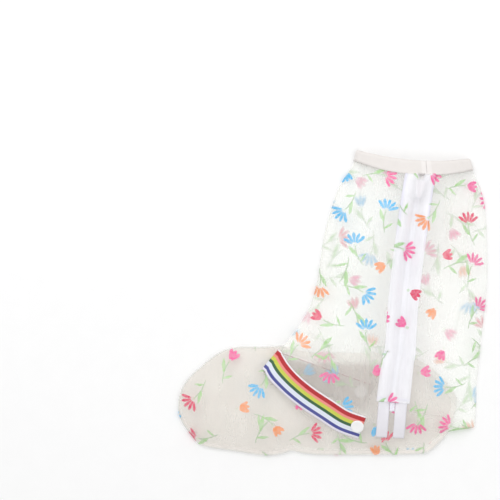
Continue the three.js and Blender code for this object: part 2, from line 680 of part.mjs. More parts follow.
const bandDepth = BAND_HEIGHT - BAND_THICK - GAP;
const bandInside = -FILM - GAP;
const bandSeat = bandBlock(GAP, GAP, 2 * BAND_HEIGHT)
  .subtract(bandBlock(bandInside, BAND_HEIGHT, 2.5 * BAND_HEIGHT));
const band = bandBlock(GAP + BAND_THICK, GAP + BAND_THICK, bandDepth)
  .subtract(bandBlock(bandInside - BAND_THICK, BAND_HEIGHT, 2 * BAND_HEIGHT))
  .subtract(bandSeat)
  .subtract(bandJointBlock());

// The pieces of the zip end at the band's lower edge
function belowBand(geometry) {
  const flat = (row) => legSection(row, 0).top.map((point) => new THREE.Vector2(point.x, point.y));
  const edge = rowsDownTo(bandDepth + GAP).pop();
  const plan = [...flat(edge), ...flat(pastMouth(fineLegRows, 2 * BAND_HEIGHT)).reverse()];
  return toGeometry(mainBody(toSolid(geometry).subtract(toSolid(prism(plan, BELOW, ABOVE)))));
}

// Slider: a bridge over the chain with its pull lying on it, pointing down the zip
function sliderSolid() {
  const share = Math.round(SLIDER_SHARE * ZIP_STEPS) / ZIP_STEPS;
  const { point, side } = zipFrame(share);
  const way = zipCurve.getTangentAt(share);
  const legHeight = CHAIN_THICK - TAPE_THICK - GAP;
  const half = SLIDER_WIDTH / 2;
  const room = CHAIN_WIDTH / 2 + GAP;
  const bridge = new THREE.Shape([
    new THREE.Vector2(-half, -legHeight),
    new THREE.Vector2(-room, -legHeight),
    new THREE.Vector2(-room, 0),
    new THREE.Vector2(room, 0),
    new THREE.Vector2(room, -legHeight),
    new THREE.Vector2(half, -legHeight),
    new THREE.Vector2(half, SLIDER_THICK),
    new THREE.Vector2(-half, SLIDER_THICK),
  ]);
  const body = new THREE.ExtrudeGeometry(bridge, { depth: SLIDER_LENGTH, bevelEnabled: false });
  body.translate(0, 0, -SLIDER_LENGTH / 2);
  const pullShape = new THREE.Shape();
  const round = PULL_WIDTH / 2;
  pullShape.absarc(0, PULL_LENGTH - round, round, 0, Math.PI, false);
  pullShape.absarc(0, 0, round, Math.PI, 2 * Math.PI, false);
  const pull = new THREE.ExtrudeGeometry(pullShape, {
    depth: PULL_THICK,
    bevelEnabled: false,
    curveSegments: 6,
  });
  pull.rotateX(Math.PI / 2);
  pull.translate(0, SLIDER_THICK + PULL_THICK - GAP / 2, 0);
  const solid = toSolid(body).add(toSolid(pull));
  const geometry = toGeometry(solid);
  const frame = new THREE.Matrix4();
  const place = Math.round(SLIDER_SHARE * ZIP_STEPS);
  const run = zipSteps[place + 1].point.distanceTo(zipSteps[place - 1].point);
  const slope = (bedHeight(place + 1, 0) - bedHeight(place - 1, 0)) / run;
  const lie = new THREE.Vector3(way.x, way.y, slope).normalize();
  const up = lie.clone().cross(side).normalize();
  frame.makeBasis(side, up, lie);
  frame.setPosition(point.x, point.y, bedHeight(place, 0) + CHAIN_TOP + GAP);
  geometry.applyMatrix4(frame);
  return geometry;
}

// Strap: over the film from the outer disc to the ridge, round it, and back inside the pocket
const STRAP_STEPS = 16;
const TURN_STEPS = 7;
const TAIL_STEPS = 4;
const ACROSS = [0.5, 0.25, 0, -0.25, -0.5];
const TURN_ROOM = 4 * STRAP_EASE;
const BLEND_START = 0.75;

function strapSections() {
  const ridge = new THREE.Vector2(Math.cos(RIDGE_ANGLE), Math.sin(RIDGE_ANGLE));
  const outwards = new THREE.Vector2(-ridge.y, ridge.x);
  const curve = new THREE.CatmullRomCurve3([...STRAP_ROWS, STRAP_TURN].map((row) => {
    const point = at(row);
    return new THREE.Vector3(point.x, point.y, 0);
  }), false, 'centripetal');
  const tailTop = RIM + GAP + STRAP_THICK;
  const sections = [];
  const turnTop = RIDGE_LIFT + FOLD_EDGE + FILM + TURN_ROOM;
  const radius = (turnTop - tailTop) / 2;
  const ridgeLength = STRAP_WIDTH / Math.cos(RIDGE_ANGLE - Math.atan2(tailSide.y, tailSide.x));
  const grid = [];
  for (let i = 0; i < STRAP_STEPS; i += 1) {
    const share = i / STRAP_STEPS;
    const point = curve.getPointAt(share);
    const way = curve.getTangentAt(share);
    const normal = new THREE.Vector2(way.y, -way.x);
    const blend = THREE.MathUtils.smoothstep(share, BLEND_START, 1);
    const side = normal.lerp(ridge, blend).normalize();
    const length = STRAP_WIDTH + (ridgeLength - STRAP_WIDTH) * blend;
    grid.push(ACROSS.map((place) => (
      new THREE.Vector2(point.x, point.y).addScaledVector(side, place * length)
    )));
  }
  const bed = layOver(grid);
  grid.forEach((row, i) => {
    const sheet = (above) => row.map((place, j) => (
      new THREE.Vector3(place.x, place.y, Math.max(bed[i][j] + STRAP_EASE, turnTop) + above)
    ));
    sections.push({ top: sheet(STRAP_THICK), under: sheet(0) });
  });
  const centre = turn.clone().addScaledVector(outwards, -TURN_INSET);
  for (let i = 0; i <= TURN_STEPS; i += 1) {
    const angle = Math.PI / 2 - (Math.PI * i) / TURN_STEPS;
    const ring = (reach) => ACROSS.map((place) => {
      const out = centre.clone().addScaledVector(ridge, place * ridgeLength)
        .addScaledVector(outwards, reach * Math.cos(angle));
      return new THREE.Vector3(out.x, out.y, (turnTop + tailTop) / 2 + reach * Math.sin(angle));
    });
    sections.push({ top: ring(radius + STRAP_THICK), under: ring(radius) });
  }
  for (let i = 1; i <= TAIL_STEPS; i += 1) {
    const share = i / TAIL_STEPS;
    const point = centre.clone().lerp(tail, share);
    const side = ridge.clone().lerp(tailSide, Math.min(1, share * 2)).normalize();
    const length = ridgeLength + (STRAP_WIDTH - ridgeLength) * Math.min(1, share * 2);
    const lay = (z) => ACROSS.map((place) => {
      const spot = point.clone().addScaledVector(side, place * length);
      return new THREE.Vector3(spot.x, spot.y, z);
    });
    sections.push({ top: lay(tailTop - STRAP_THICK), under: lay(tailTop) });
  }
  return sections;
}

// Disc: a button with a rounded rim, tilted to what it lies on
const DISC_FLAT = 0.7;
const DISC_SHOULDER = 0.85;
const DISC_SIDES = 24;
function discGeometry(place, base, normal) {
  const rounding = DISC_THICK / 2;
  const profile = [
    new THREE.Vector2(0, 0),
    new THREE.Vector2(DISC_RADIUS - rounding / 2, 0),
    new THREE.Vector2(DISC_RADIUS, rounding),
    new THREE.Vector2(DISC_RADIUS - rounding / 2, DISC_THICK * DISC_SHOULDER),
    new THREE.Vector2(DISC_RADIUS * DISC_FLAT, DISC_THICK),
    new THREE.Vector2(0, DISC_THICK),
  ];
  const geometry = new THREE.LatheGeometry(profile, DISC_SIDES);
  const turned = new THREE.Quaternion().setFromUnitVectors(new THREE.Vector3(0, 1, 0), normal);
  geometry.applyQuaternion(turned);
  geometry.translate(place.x, place.y, base);
  return geometry;
}

function bagNormal(x, y) {
  const step = DISC_RADIUS;
  const slopeX = (bagTop(x + step, y) - bagTop(x - step, y)) / (2 * step);
  const slopeY = (bagTop(x, y + step) - bagTop(x, y - step)) / (2 * step);
  return new THREE.Vector3(-slopeX, -slopeY, 1).normalize();
}

const outerDisc = at(OUTER_DISC);
const innerDisc = at(INNER_DISC);
const innerNormal = new THREE.Vector3(0, 0, 1);
const innerBase = RIM + 2 * GAP + STRAP_THICK;
const outerNormal = bagNormal(outerDisc.x, outerDisc.y);
const outerBase = bagTop(outerDisc.x, outerDisc.y) + STRAP_EASE + (STRAP_THICK + GAP) / outerNormal.z;

const MATERIALS = {
  film: { color: 0xd9dcd4, roughness: 0.35, metalness: 0, transparent: true, opacity: 0.5 },
  sole: { color: 0xb59d86, roughness: 0.8, metalness: 0 },
  band: { color: 0xe6d3cf, roughness: 0.85, metalness: 0 },
  tape: { color: 0xd9d6e6, roughness: 0.9, metalness: 0 },
  chain: { color: 0xe2e0ea, roughness: 0.4, metalness: 0 },
  strap: { color: 0xd84a5a, roughness: 0.85, metalness: 0 },
  disc: { color: 0xf2f2ee, roughness: 0.3, metalness: 0 },
};

const cover = new THREE.Group();
function addPiece(name, geometry, finish) {
  const mesh = new THREE.Mesh(geometry, new THREE.MeshStandardMaterial(MATERIALS[finish]));
  mesh.name = name;
  cover.add(mesh);
}

addPiece('upper_film', toGeometry(mainBody(film)), 'film');
addPiece('sole', prism(soleOutline, 0, SOLE_THICK), 'sole');
addPiece('mouth_band', toGeometry(mainBody(band)), 'band');
addPiece('zip_tape_front', belowBand(zipStrip(TAPE_SHARES, tapeColumns(-1))), 'tape');
addPiece('zip_tape_back', belowBand(zipStrip(TAPE_SHARES, tapeColumns(1))), 'tape');
addPiece('zip_chain', belowBand(zipStrip(CHAIN_SHARES, chainColumns)), 'chain');
addPiece('zip_slider', sliderSolid(), 'chain');
addPiece('zip_flap', belowBand(zipStrip(FLAP_SHARES, flapColumns)), 'film');
addPiece('instep_strap', slab(strapSections()), 'strap');
addPiece('strap_disc_outer', discGeometry(outerDisc, outerBase, outerNormal), 'disc');
addPiece('strap_disc_inner', discGeometry(innerDisc, innerBase, innerNormal), 'disc');

// The origin is under the middle of the whole cover
const bounds = new THREE.Box3().setFromObject(cover);
const middle = bounds.getCenter(new THREE.Vector3());
cover.position.set(-middle.x, -middle.y, 0);

const part = new THREE.Group();
part.add(cover);
export default part;
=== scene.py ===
import math

import bpy
import numpy as np
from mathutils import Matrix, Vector, geometry, noise
from mathutils.bvhtree import BVHTree


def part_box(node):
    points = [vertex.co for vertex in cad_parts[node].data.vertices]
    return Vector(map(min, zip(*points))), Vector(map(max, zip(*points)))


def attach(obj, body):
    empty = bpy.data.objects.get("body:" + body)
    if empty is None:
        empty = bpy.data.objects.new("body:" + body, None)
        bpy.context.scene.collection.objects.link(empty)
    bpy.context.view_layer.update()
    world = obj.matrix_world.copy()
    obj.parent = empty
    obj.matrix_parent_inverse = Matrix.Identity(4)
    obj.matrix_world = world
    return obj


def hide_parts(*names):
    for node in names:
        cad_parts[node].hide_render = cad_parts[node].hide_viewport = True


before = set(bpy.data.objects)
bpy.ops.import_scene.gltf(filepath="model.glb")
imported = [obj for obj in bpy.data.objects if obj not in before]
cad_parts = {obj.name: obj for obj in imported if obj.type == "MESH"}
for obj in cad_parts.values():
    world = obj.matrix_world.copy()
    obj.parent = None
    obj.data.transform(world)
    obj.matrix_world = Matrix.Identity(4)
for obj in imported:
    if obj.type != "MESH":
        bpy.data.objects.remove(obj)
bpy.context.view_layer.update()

# Ground, lights and camera
# The cover lies on a pale ground under wide soft lights and is seen from straight above.
VIEW_CENTRE = (-0.0867, 0.0550)
VIEW_WIDTH = 0.519
CAMERA_HEIGHT = 1.6
FOCUS_HEIGHT = 0.015
GROUND_LEVEL = -0.0002
GROUND_SIZE = 6.0

MM = 0.001


def srgb(red, green, blue):
    """A linear colour from the 0 to 255 values that a colour picker shows."""
    def linear(value):
        share = value / 255
        return share / 12.92 if share <= 0.04045 else ((share + 0.055) / 1.055) ** 2.4
    return (linear(red), linear(green), linear(blue), 1.0)


class Term:
    """A socket of a node tree that sums are written with, as with a number."""

    def __init__(self, tree, socket):
        self.tree, self.socket = tree, socket

    def math(self, operation, *others, clamp=False):
        values = dict(enumerate((self, *others)))
        return term(self.tree, "ShaderNodeMath", values, operation=operation, use_clamp=clamp)

    def taken_by(self, operation, other):
        return term(self.tree, "ShaderNodeMath", {0: other, 1: self}, operation=operation)

    def __add__(self, other):
        return self.math("ADD", other)

    def __mul__(self, other):
        return self.math("MULTIPLY", other)

    def __sub__(self, other):
        return self.math("SUBTRACT", other)

    def __truediv__(self, other):
        return self.math("DIVIDE", other)

    def __rsub__(self, other):
        return self.taken_by("SUBTRACT", other)

    def __rtruediv__(self, other):
        return self.taken_by("DIVIDE", other)

    __radd__, __rmul__ = __add__, __mul__

    def vector(self, operation, inputs, output=0):
        return term(self.tree, "ShaderNodeVectorMath", {0: self, **inputs}, output, operation=operation)

    def turned(self, angle):
        inputs = {"Vector": self, "Angle": angle}
        return term(self.tree, "ShaderNodeVectorRotate", inputs, rotation_type="Z_AXIS")

    def stretched(self, scale, turn=0.0):
        inputs = {"Vector": self, "Rotation": (0.0, 0.0, turn), "Scale": scale}
        return term(self.tree, "ShaderNodeMapping", inputs)

    def parts(self):
        return list(terms(self.tree, "ShaderNodeSeparateXYZ", {0: self}).values())

    def noise(self, scale, detail, output=0, kind="FBM", **more):
        inputs = {"Vector": self, "Scale": scale, "Detail": detail, **more}
        return term(self.tree, "ShaderNodeTexNoise", inputs, output, noise_type=kind)

    def between(self, low, high):
        """Nothing below low and one above high, with a smooth passage."""
        inputs = {"Value": self, "From Min": low, "From Max": high}
        return term(self.tree, "ShaderNodeMapRange", inputs, interpolation_type="SMOOTHSTEP")

    def mix(self, first, second):
        """A colour between two others, with this as its share."""
        return term(self.tree, "ShaderNodeMix", {0: self, 6: first, 7: second}, 2, data_type="RGBA")

    def bump(self, strength, distance):
        inputs = {"Strength": strength, "Distance": distance, "Height": self}
        return term(self.tree, "ShaderNodeBump", inputs)


def feed(node, inputs=None, **named):
    """Sets inputs of a node, each to a socket to link or to a plain value."""
    for name, value in {**(inputs or {}), **named}.items():
        entry = node.inputs[name.replace("_", " ") if isinstance(name, str) else name]
        value = getattr(value, "socket", value)
        if isinstance(value, bpy.types.NodeSocket):
            node.id_data.links.new(value, entry)
        else:
            entry.default_value = value
    return node


def terms(tree, kind, inputs=None, **settings):
    """All outputs of a new node, by their names."""
    node = tree.nodes.new(kind)
    for name, value in settings.items():
        setattr(node, name, value)
    return {socket.name: Term(tree, socket) for socket in feed(node, inputs).outputs}


def term(tree, kind, inputs=None, output=0, **settings):
    """One output of a new node."""
    node = tree.nodes.new(kind)
    for name, value in settings.items():
        setattr(node, name, value)
    return Term(tree, feed(node, inputs).outputs[output])


def combined(tree, x, y=0.0, z=0.0):
    return term(tree, "ShaderNodeCombineXYZ", {0: x, 1: y, 2: z})


def object_place(tree):
    return term(tree, "ShaderNodeTexCoord", output="Object")


SOCKET_KINDS = {"Vector": "Vector", "Local": "Vector", "Tooth": "Vector", "Geometry": "Geometry"}


def new_group(name, takes, gives, kind="ShaderNodeTree"):
    """An empty node group, its inputs and its output node. Sockets hold numbers if not named above."""
    tree = bpy.data.node_groups.new(name, kind)
    for direction, sockets in (("INPUT", takes), ("OUTPUT", gives)):
        for socket in sockets.split():
            socket_type = "NodeSocket" + SOCKET_KINDS.get(socket, "Float")
            tree.interface.new_socket(socket, in_out=direction, socket_type=socket_type)
    enter, leave = tree.nodes.new("NodeGroupInput"), tree.nodes.new("NodeGroupOutput")
    return tree, [Term(tree, enter.outputs[socket]) for socket in takes.split()], leave


def use_group(tree, group, **inputs):
    return terms(tree, "ShaderNodeGroup", inputs, node_tree=group)


def new_finish(name, **uniform):
    """A material with its own surface shader. Values that are the same all over are set on it."""
    material = bpy.data.materials.new(name)
    material.use_nodes = True
    tree = material.node_tree
    return material, tree, feed(tree.nodes["Principled BSDF"], **uniform)


# Fine grain: a height and a tone for matt and moulded surfaces
grain, (vector, scale), gives = new_group("fine_grain", "Vector Scale", "Height Tone")
fine, broad = vector.noise(scale, 4.0), vector.noise(scale * 0.06, 2.0)
feed(gives, Height=fine, Tone=fine * 0.35 + broad * 0.65)


def grained_finish(name, scale, deep, pale, relief=None, **uniform):
    """A plain material with the grain in its tone, and as relief of a strength and a depth."""
    material, tree, shader = new_finish(name, **uniform)
    own = use_group(tree, grain, Vector=object_place(tree), Scale=scale)
    feed(shader, Base_Color=own["Tone"].mix(deep, pale))
    if relief:
        feed(shader, Normal=own["Height"].bump(*relief))
    return material


def table(names, *rows):
    """Rows with named columns."""
    return [dict(zip(names.split(), row)) for row in rows]


ground_finish = grained_finish("ground", 900.0, srgb(246, 246, 246), srgb(251, 251, 251), Roughness=0.9)
half = GROUND_SIZE / 2
ground_mesh = bpy.data.meshes.new("ground")
ground_mesh.from_pydata(
    [(x, y, GROUND_LEVEL) for x, y in ((-half, -half), (half, -half), (half, half), (-half, half))],
    [], [(0, 1, 2, 3)],
)
ground_mesh.materials.append(ground_finish)
ground = bpy.data.objects.new("ground", ground_mesh)
bpy.context.collection.objects.link(ground)

LIGHTS = table(
    "name spot size power",
    ("key", (-0.7, 0.9, 1.5), 1.4, 13.0),
    ("fill", (0.9, -0.3, 1.4), 1.6, 7.0),
    ("rim", (0.2, 1.6, 0.7), 0.8, 3.0),
)
for row in LIGHTS:
    lamp = bpy.data.lights.new(row["name"], "AREA")
    lamp.size = row["size"]
    lamp.energy = row["power"]
    light = bpy.data.objects.new(row["name"], lamp)
    light.location = row["spot"]
    light.rotation_euler = (-Vector(row["spot"])).to_track_quat("-Z", "Y").to_euler()
    bpy.context.collection.objects.link(light)

world = bpy.data.worlds.new("studio")
world.use_nodes = True
feed(world.node_tree.nodes["Background"], Color=srgb(255, 255, 255), Strength=0.62)
bpy.context.scene.world = world
bpy.context.scene.view_settings.view_transform = "Standard"
bpy.context.scene.cycles.transparent_max_bounces = 24

camera_data = bpy.data.cameras.new("camera")
camera_data.lens = camera_data.sensor_width * (CAMERA_HEIGHT - FOCUS_HEIGHT) / VIEW_WIDTH
camera_data.dof.use_dof = False
camera = bpy.data.objects.new("camera", camera_data)
camera.location = (*VIEW_CENTRE, CAMERA_HEIGHT)
bpy.context.collection.objects.link(camera)
bpy.context.scene.camera = camera

# Sole
# The real sole is one die-cut sheet of soft beige foam rubber, 2.5 mm thick with a softened
# edge. It lies flat inside the film, which is welded round it.
sole_low, sole_high = (Vector(corner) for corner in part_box("sole"))
INNER_REACH = 1.004
foot_length = sole_high.x - sole_low.x
foot_width = (sole_high.y - sole_low.y) / INNER_REACH
sole_thick = sole_high.z
heel = Vector((sole_high.x, sole_low.y))

# Shares of the foot's length from the heel, and of its width from the outer edge
FOOT_ROWS = table(
    "along outer inner",
    (1.000, 0.398, 0.500),
    (0.989, 0.315, 0.602),
    (0.958, 0.199, 0.722),
    (0.922, 0.097, 0.806),
    (0.886, 0.071, 0.886),
    (0.832, 0.052, 0.968),
    (0.771, 0.028, 0.997),
    (0.717, 0.006, 0.994),
    (0.671, 0.000, 1.000),
    (0.624, 0.020, 1.004),
    (0.594, 0.044, 0.994),
    (0.563, 0.024, 0.968),
    (0.524, 0.011, 0.951),
    (0.470, 0.004, 0.951),
    (0.226, 0.006, 0.944),
    (0.122, 0.017, 0.861),
    (0.068, 0.106, 0.759),
    (0.022, 0.259, 0.630),
    (0.000, 0.435, 0.528),
)


def ease(a, b, c, d, t):
    """Between b and c, smooth and without overshooting the rows."""
    before, span, after = b - a, c - b, d - c
    start = 2 * before * span / (before + span) if before * span > 0 else 0
    end = 2 * span * after / (span + after) if span * after > 0 else 0
    return (
        b * (2 * t**3 - 3 * t**2 + 1) + start * (t**3 - 2 * t**2 + t)
        + c * (3 * t**2 - 2 * t**3) + end * (t**3 - t**2)
    )


def refine(rows, steps):
    """The rows of a table with smooth rows between them."""
    first = {name: 2 * rows[0][name] - rows[1][name] for name in rows[0]}
    last = {name: 2 * rows[-1][name] - rows[-2][name] for name in rows[0]}
    full = [first, *rows, last]
    result = []
    for i in range(1, len(full) - 2):
        for step in range(steps):
            near = full[i - 1:i + 3]
            result.append({name: ease(*(row[name] for row in near), step / steps) for name in rows[0]})
    return [*result, dict(rows[-1])]


def foot_point(along, across):
    """A place over the sole: along from the heel towards the toe, across from the outer edge."""
    return Vector((heel.x - along * foot_length, heel.y + across * foot_width))


def resampled(line, spacing, closed=True):
    """Points at even distances along a line."""
    ends = [*line, line[0]] if closed else list(line)
    runs = [0.0]
    for start, end in zip(ends, ends[1:]):
        runs.append(runs[-1] + (end - start).length)
    count = max(2, round(runs[-1] / spacing))
    result, k = [], 0
    for i in range(count if closed else count + 1):
        run = runs[-1] * i / count
        while k < len(runs) - 2 and runs[k + 1] < run:
            k += 1
        share = (run - runs[k]) / max(1e-9, runs[k + 1] - runs[k])
        result.append(ends[k].lerp(ends[k + 1], share))
    return result


def inset(loop, distance):
    """A closed line that runs anticlockwise, moved inwards."""
    count = len(loop)
    result = []
    for i, point in enumerate(loop):
        before = (point - loop[i - 1]).normalized()
        after = (loop[(i + 1) % count] - point).normalized()
        way = Vector((-before.y - after.y, before.x + after.x)).normalized()
        mitre = max(0.5, way.x * -after.y + way.y * after.x)
        result.append(point + way * (distance / mitre))
    return result


def grid_faces(rows, wide, closed=False):
    """Faces between rows of points, each wide points long."""
    faces = []
    for row in range(rows - 1):
        for j in range(wide if closed else wide - 1):
            a, b = row * wide + j, row * wide + (j + 1) % wide
            faces.append((a, a + wide, b + wide, b))
    return faces


def anticlockwise(loop):
    area = sum(a.x * b.y - b.x * a.y for a, b in zip(loop, [*loop[1:], loop[0]]))
    return loop if area > 0 else loop[::-1]


def new_piece(name, points, faces, finish, replaced):
    """A smooth mesh piece of the cover, in place of the solids that it stands for."""
    mesh = bpy.data.meshes.new(name)
    mesh.from_pydata([tuple(point) for point in points], [], faces)
    mesh.validate()
    mesh.polygons.foreach_set("use_smooth", [True] * len(mesh.polygons))
    mesh.materials.append(finish)
    piece = bpy.data.objects.new(name, mesh)
    bpy.context.collection.objects.link(piece)
    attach(piece, "root")
    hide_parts(replaced)
    return piece


foot_rows = refine(FOOT_ROWS, 8)
sole_outline = anticlockwise(resampled([
    *(foot_point(row["along"], row["outer"]) for row in foot_rows),
    *(foot_point(row["along"], row["inner"]) for row in reversed(foot_rows)),
], 2.0 * MM))

EDGE_ROUND = 0.7 * MM
sole_levels = (
    (EDGE_ROUND, 0.0),
    (0.3 * EDGE_ROUND, 0.3 * EDGE_ROUND),
    (0.0, EDGE_ROUND),
    (0.0, sole_thick - EDGE_ROUND),
    (0.3 * EDGE_ROUND, sole_thick - 0.3 * EDGE_ROUND),
    (EDGE_ROUND, sole_thick),
)
count = len(sole_outline)
points = [(*point, level) for distance, level in sole_levels for point in inset(sole_outline, distance)]
faces = [(a, b, c, d) for a, d, c, b in grid_faces(len(sole_levels), count, closed=True)]
faces += [tuple(reversed(range(count))), tuple(range(len(points) - count, len(points)))]
sole_finish = grained_finish(
    "foam_sole", 700.0, srgb(219, 211, 204), srgb(231, 225, 219), (0.4, 0.4 * MM), Roughness=0.75
)
new_piece("foam_sole", points, faces, sole_finish, "sole")

# Film
# The real bag is two panels of milky printed film, welded to each other down both folds of the
# leg and round the sole. The far panel lies on the ground and is pleated up beside the ankle.
LEG_WIDTH = 172 * MM
LEG_RISE = 211 * MM
FILM_THICK = 0.5 * MM
FILM_REACH = 1.3 * MM
ANKLE_SHARE = 0.951
SOLE_LIP = 6 * MM

# The leg from the mouth down: shares of LEG_WIDTH from the heel end and of LEG_RISE above the
# sole's inner edge, and how far the section dips in its middle as a share of LEG_RISE
LEG_ROWS = table(
    "frontX frontY backX backY sag",
    (-0.607, 0.998, 0.079, 0.956, 0.032),
    (-0.621, 0.948, 0.097, 0.904, 0.030),
    (-0.653, 0.897, 0.120, 0.865, 0.024),
    (-0.695, 0.852, 0.145, 0.820, 0.015),
    (-0.755, 0.729, 0.175, 0.714, 0.005),
    (-0.810, 0.557, 0.187, 0.567, 0.000),
    (-0.846, 0.360, 0.190, 0.419, 0.000),
    (-0.888, 0.236, 0.181, 0.276, 0.000),
    (-0.955, 0.138, 0.166, 0.163, 0.000),
    (-1.039, 0.049, 0.151, 0.059, 0.000),
)
# The leg over the foot: shares of the foot's length and width
ANKLE_ROWS = table(
    "frontX frontY backX backY",
    (-0.649, 0.940, 0.083, 0.889),
    (-0.685, 0.824, 0.077, 0.741),
    (-0.699, 0.750, 0.074, 0.648),
    (-0.689, 0.556, 0.072, 0.491),
    (-0.656, 0.333, 0.070, 0.361),
    (-0.628, 0.204, 0.066, 0.255),
    (-0.612, 0.132, -0.030, 0.212),
    (-0.594, 0.080, -0.076, 0.118),
    (-0.564, 0.042, -0.122, 0.044),
)
ankle_edge = ANKLE_SHARE * foot_width


def in_metres(row, wide, high, base):
    """A row of the leg from shares of a width, and of a height above a base."""
    return {
        "frontX": heel.x + row["frontX"] * wide, "frontY": base + row["frontY"] * high,
        "backX": heel.x + row["backX"] * wide, "backY": base + row["backY"] * high,
        "sag": row.get("sag", 0) * high,
    }


leg_rows = refine([
    *(in_metres(row, LEG_WIDTH, LEG_RISE, heel.y + ankle_edge) for row in LEG_ROWS),
    *(in_metres(row, foot_length, foot_width, heel.y) for row in ANKLE_ROWS),
], 8)


def leg_place(row, share):
    """A place on a row of the leg, from its front fold to its back fold."""
    front = Vector((row["frontX"], row["frontY"]))
    point = front.lerp(Vector((row["backX"], row["backY"])), share)
    point.y -= row["sag"] * 4 * share * (1 - share)
    return point


MOUTH_STEPS = 40
mouth_line = [leg_place(leg_rows[0], i / MOUTH_STEPS) for i in range(MOUTH_STEPS + 1)]
leg_outline = anticlockwise([
    *(leg_place(row, 0) for row in leg_rows),
    *(leg_place(row, 1) for row in reversed(leg_rows)),
    *reversed(mouth_line[1:-1]),
])
film_outline = inset(sole_outline, -FILM_REACH)


def triangulated(loops, loose=()):
    """Points and triangles inside some closed lines, through the loose points between them."""
    spots, lines = [], []
    for loop in loops:
        start = len(spots)
        spots += loop
        lines += [(start + i, start + (i + 1) % len(loop)) for i in range(len(loop))]
    spots += loose
    result = geometry.delaunay_2d_cdt(spots, lines, [], 1, 1e-7)
    return result[0], [tuple(face) for face in result[2]]


def rim_of(spots, triangles):
    """The outer line of some triangles, in order."""
    sides = dict.fromkeys((a, b) for face in triangles for a, b in zip(face, (*face[1:], face[0])))
    after = {a: b for a, b in sides if (b, a) not in sides}
    start = next(iter(after))
    loop, k = [spots[start]], after[start]
    while k != start:
        loop.append(spots[k])
        k = after[k]
    return loop


def with_corners(loop, spacing, turn=math.radians(28)):
    """The line with even points, keeping its sharp corners."""
    count = len(loop)
    corners = []
    for i, point in enumerate(loop):
        before, after = point - loop[i - 1], loop[(i + 1) % count] - point
        if before.length > 1e-6 and after.length > 1e-6 and before.angle(after) > turn:
            corners.append(i)
    if not corners:
        return resampled(loop, spacing)
    result = []
    for k, start in enumerate(corners):
        end = corners[(k + 1) % len(corners)]
        stretch = loop[start:end + 1] if end > start else [*loop[start:], *loop[:end + 1]]
        result += resampled(stretch, spacing, closed=False)[:-1]
    return result


def gaps_to(spots, line, closed=True):
    """The distance from each spot to a line, as an array."""
    ends = np.array([*line, line[0]] if closed else list(line))
    spots = np.array([tuple(spot) for spot in spots])
    nearest = np.full(len(spots), 1e9)
    for a, b in zip(ends[:-1], ends[1:]):
        run = b - a
        share = np.clip(((spots - a) @ run) / max(1e-12, run @ run), 0, 1)
        nearest = np.minimum(nearest, np.linalg.norm(spots - a - share[:, None] * run, axis=1))
    return nearest


def net(low, high, spacing):
    """Points in staggered rows over a box."""
    result = []
    rows = int((high.y - low.y) / (spacing * 0.866)) + 1
    for j in range(rows):
        y = low.y + j * spacing * 0.866
        for i in range(int((high.x - low.x) / spacing) + 1):
            result.append(Vector((low.x + (i + 0.5 * (j % 2)) * spacing, y)))
    return result


def ray_tree(node):
    """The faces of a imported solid, to send rays at."""
    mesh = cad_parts[node].data
    return BVHTree.FromPolygons([v.co for v in mesh.vertices], [tuple(p.vertices) for p in mesh.polygons])


def flat_tree(outline):
    """The inside of a closed line on the ground, to send rays at."""
    return BVHTree.FromPolygons([(*point, 0.0) for point in outline], [tuple(range(len(outline)))])


solid_tree = ray_tree("upper_film")
DOWN, UP = Vector((0, 0, -1)), Vector((0, 0, 1))
SKY = 0.2
STEP_PAST = 0.01 * MM


def hits_below(x, y):
    """Heights of the film's surfaces under a place, from the top."""
    heights, level = [], SKY
    while len(heights) < 8:
        hit = solid_tree.ray_cast(Vector((x, y, level)), DOWN)[0]
        if hit is None:
            break
        heights.append(hit.z)
        level = hit.z - STEP_PAST
    return heights


RIM_SPACING = 2.0 * MM
RIM_INSETS = (0.0, 0.35 * MM, 1.0 * MM, 2.2 * MM, 4.0 * MM, 6.0 * MM)
NUDGE = 0.15 * MM
bag_outline = with_corners(rim_of(*triangulated([leg_outline, film_outline])), RIM_SPACING)


def skin_plan(outline, spacing, lines=()):
    """Points and triangles for one panel, close together at its rim."""
    rings = [inset(outline, distance) for distance in RIM_INSETS[1:]]
    loose = []
    for distance, ring in zip(RIM_INSETS[1:], rings):
        room = gaps_to(ring, outline)
        loose += [point for point, gap in zip(ring, room) if gap > 0.9 * distance]
    low = Vector((min(p.x for p in outline), min(p.y for p in outline)))
    high = Vector((max(p.x for p in outline), max(p.y for p in outline)))
    inner = net(low, high, spacing)
    room = gaps_to(inner, outline)
    loose += [point for point, gap in zip(inner, room) if gap > RIM_INSETS[-1] + 0.6 * spacing]
    return triangulated([outline, *lines], loose)


def neighbours(triangles, count):
    """Start and end points of every edge, both ways, and how many each point has."""
    edges = {(a, b) for face in triangles for a, b in zip(face, (*face[1:], face[0]))}
    edges |= {(b, a) for a, b in edges}
    pairs = np.array(sorted(edges))
    return pairs[:, 0], pairs[:, 1], np.bincount(pairs[:, 0], minlength=count)


def smoothed(heights, links, weights, rounds):
    """Heights drawn towards the mean of their neighbours."""
    starts, ends, degree = links
    for _ in range(rounds):
        total = np.bincount(starts, weights=heights[ends], minlength=len(heights))
        mean = total / np.maximum(1, degree)
        heights = heights + weights * 0.6 * (mean - heights)
    return heights


def smooth_step(values, low, high):
    share = np.clip((values - low) / (high - low), 0, 1)
    return share * share * (3 - 2 * share)


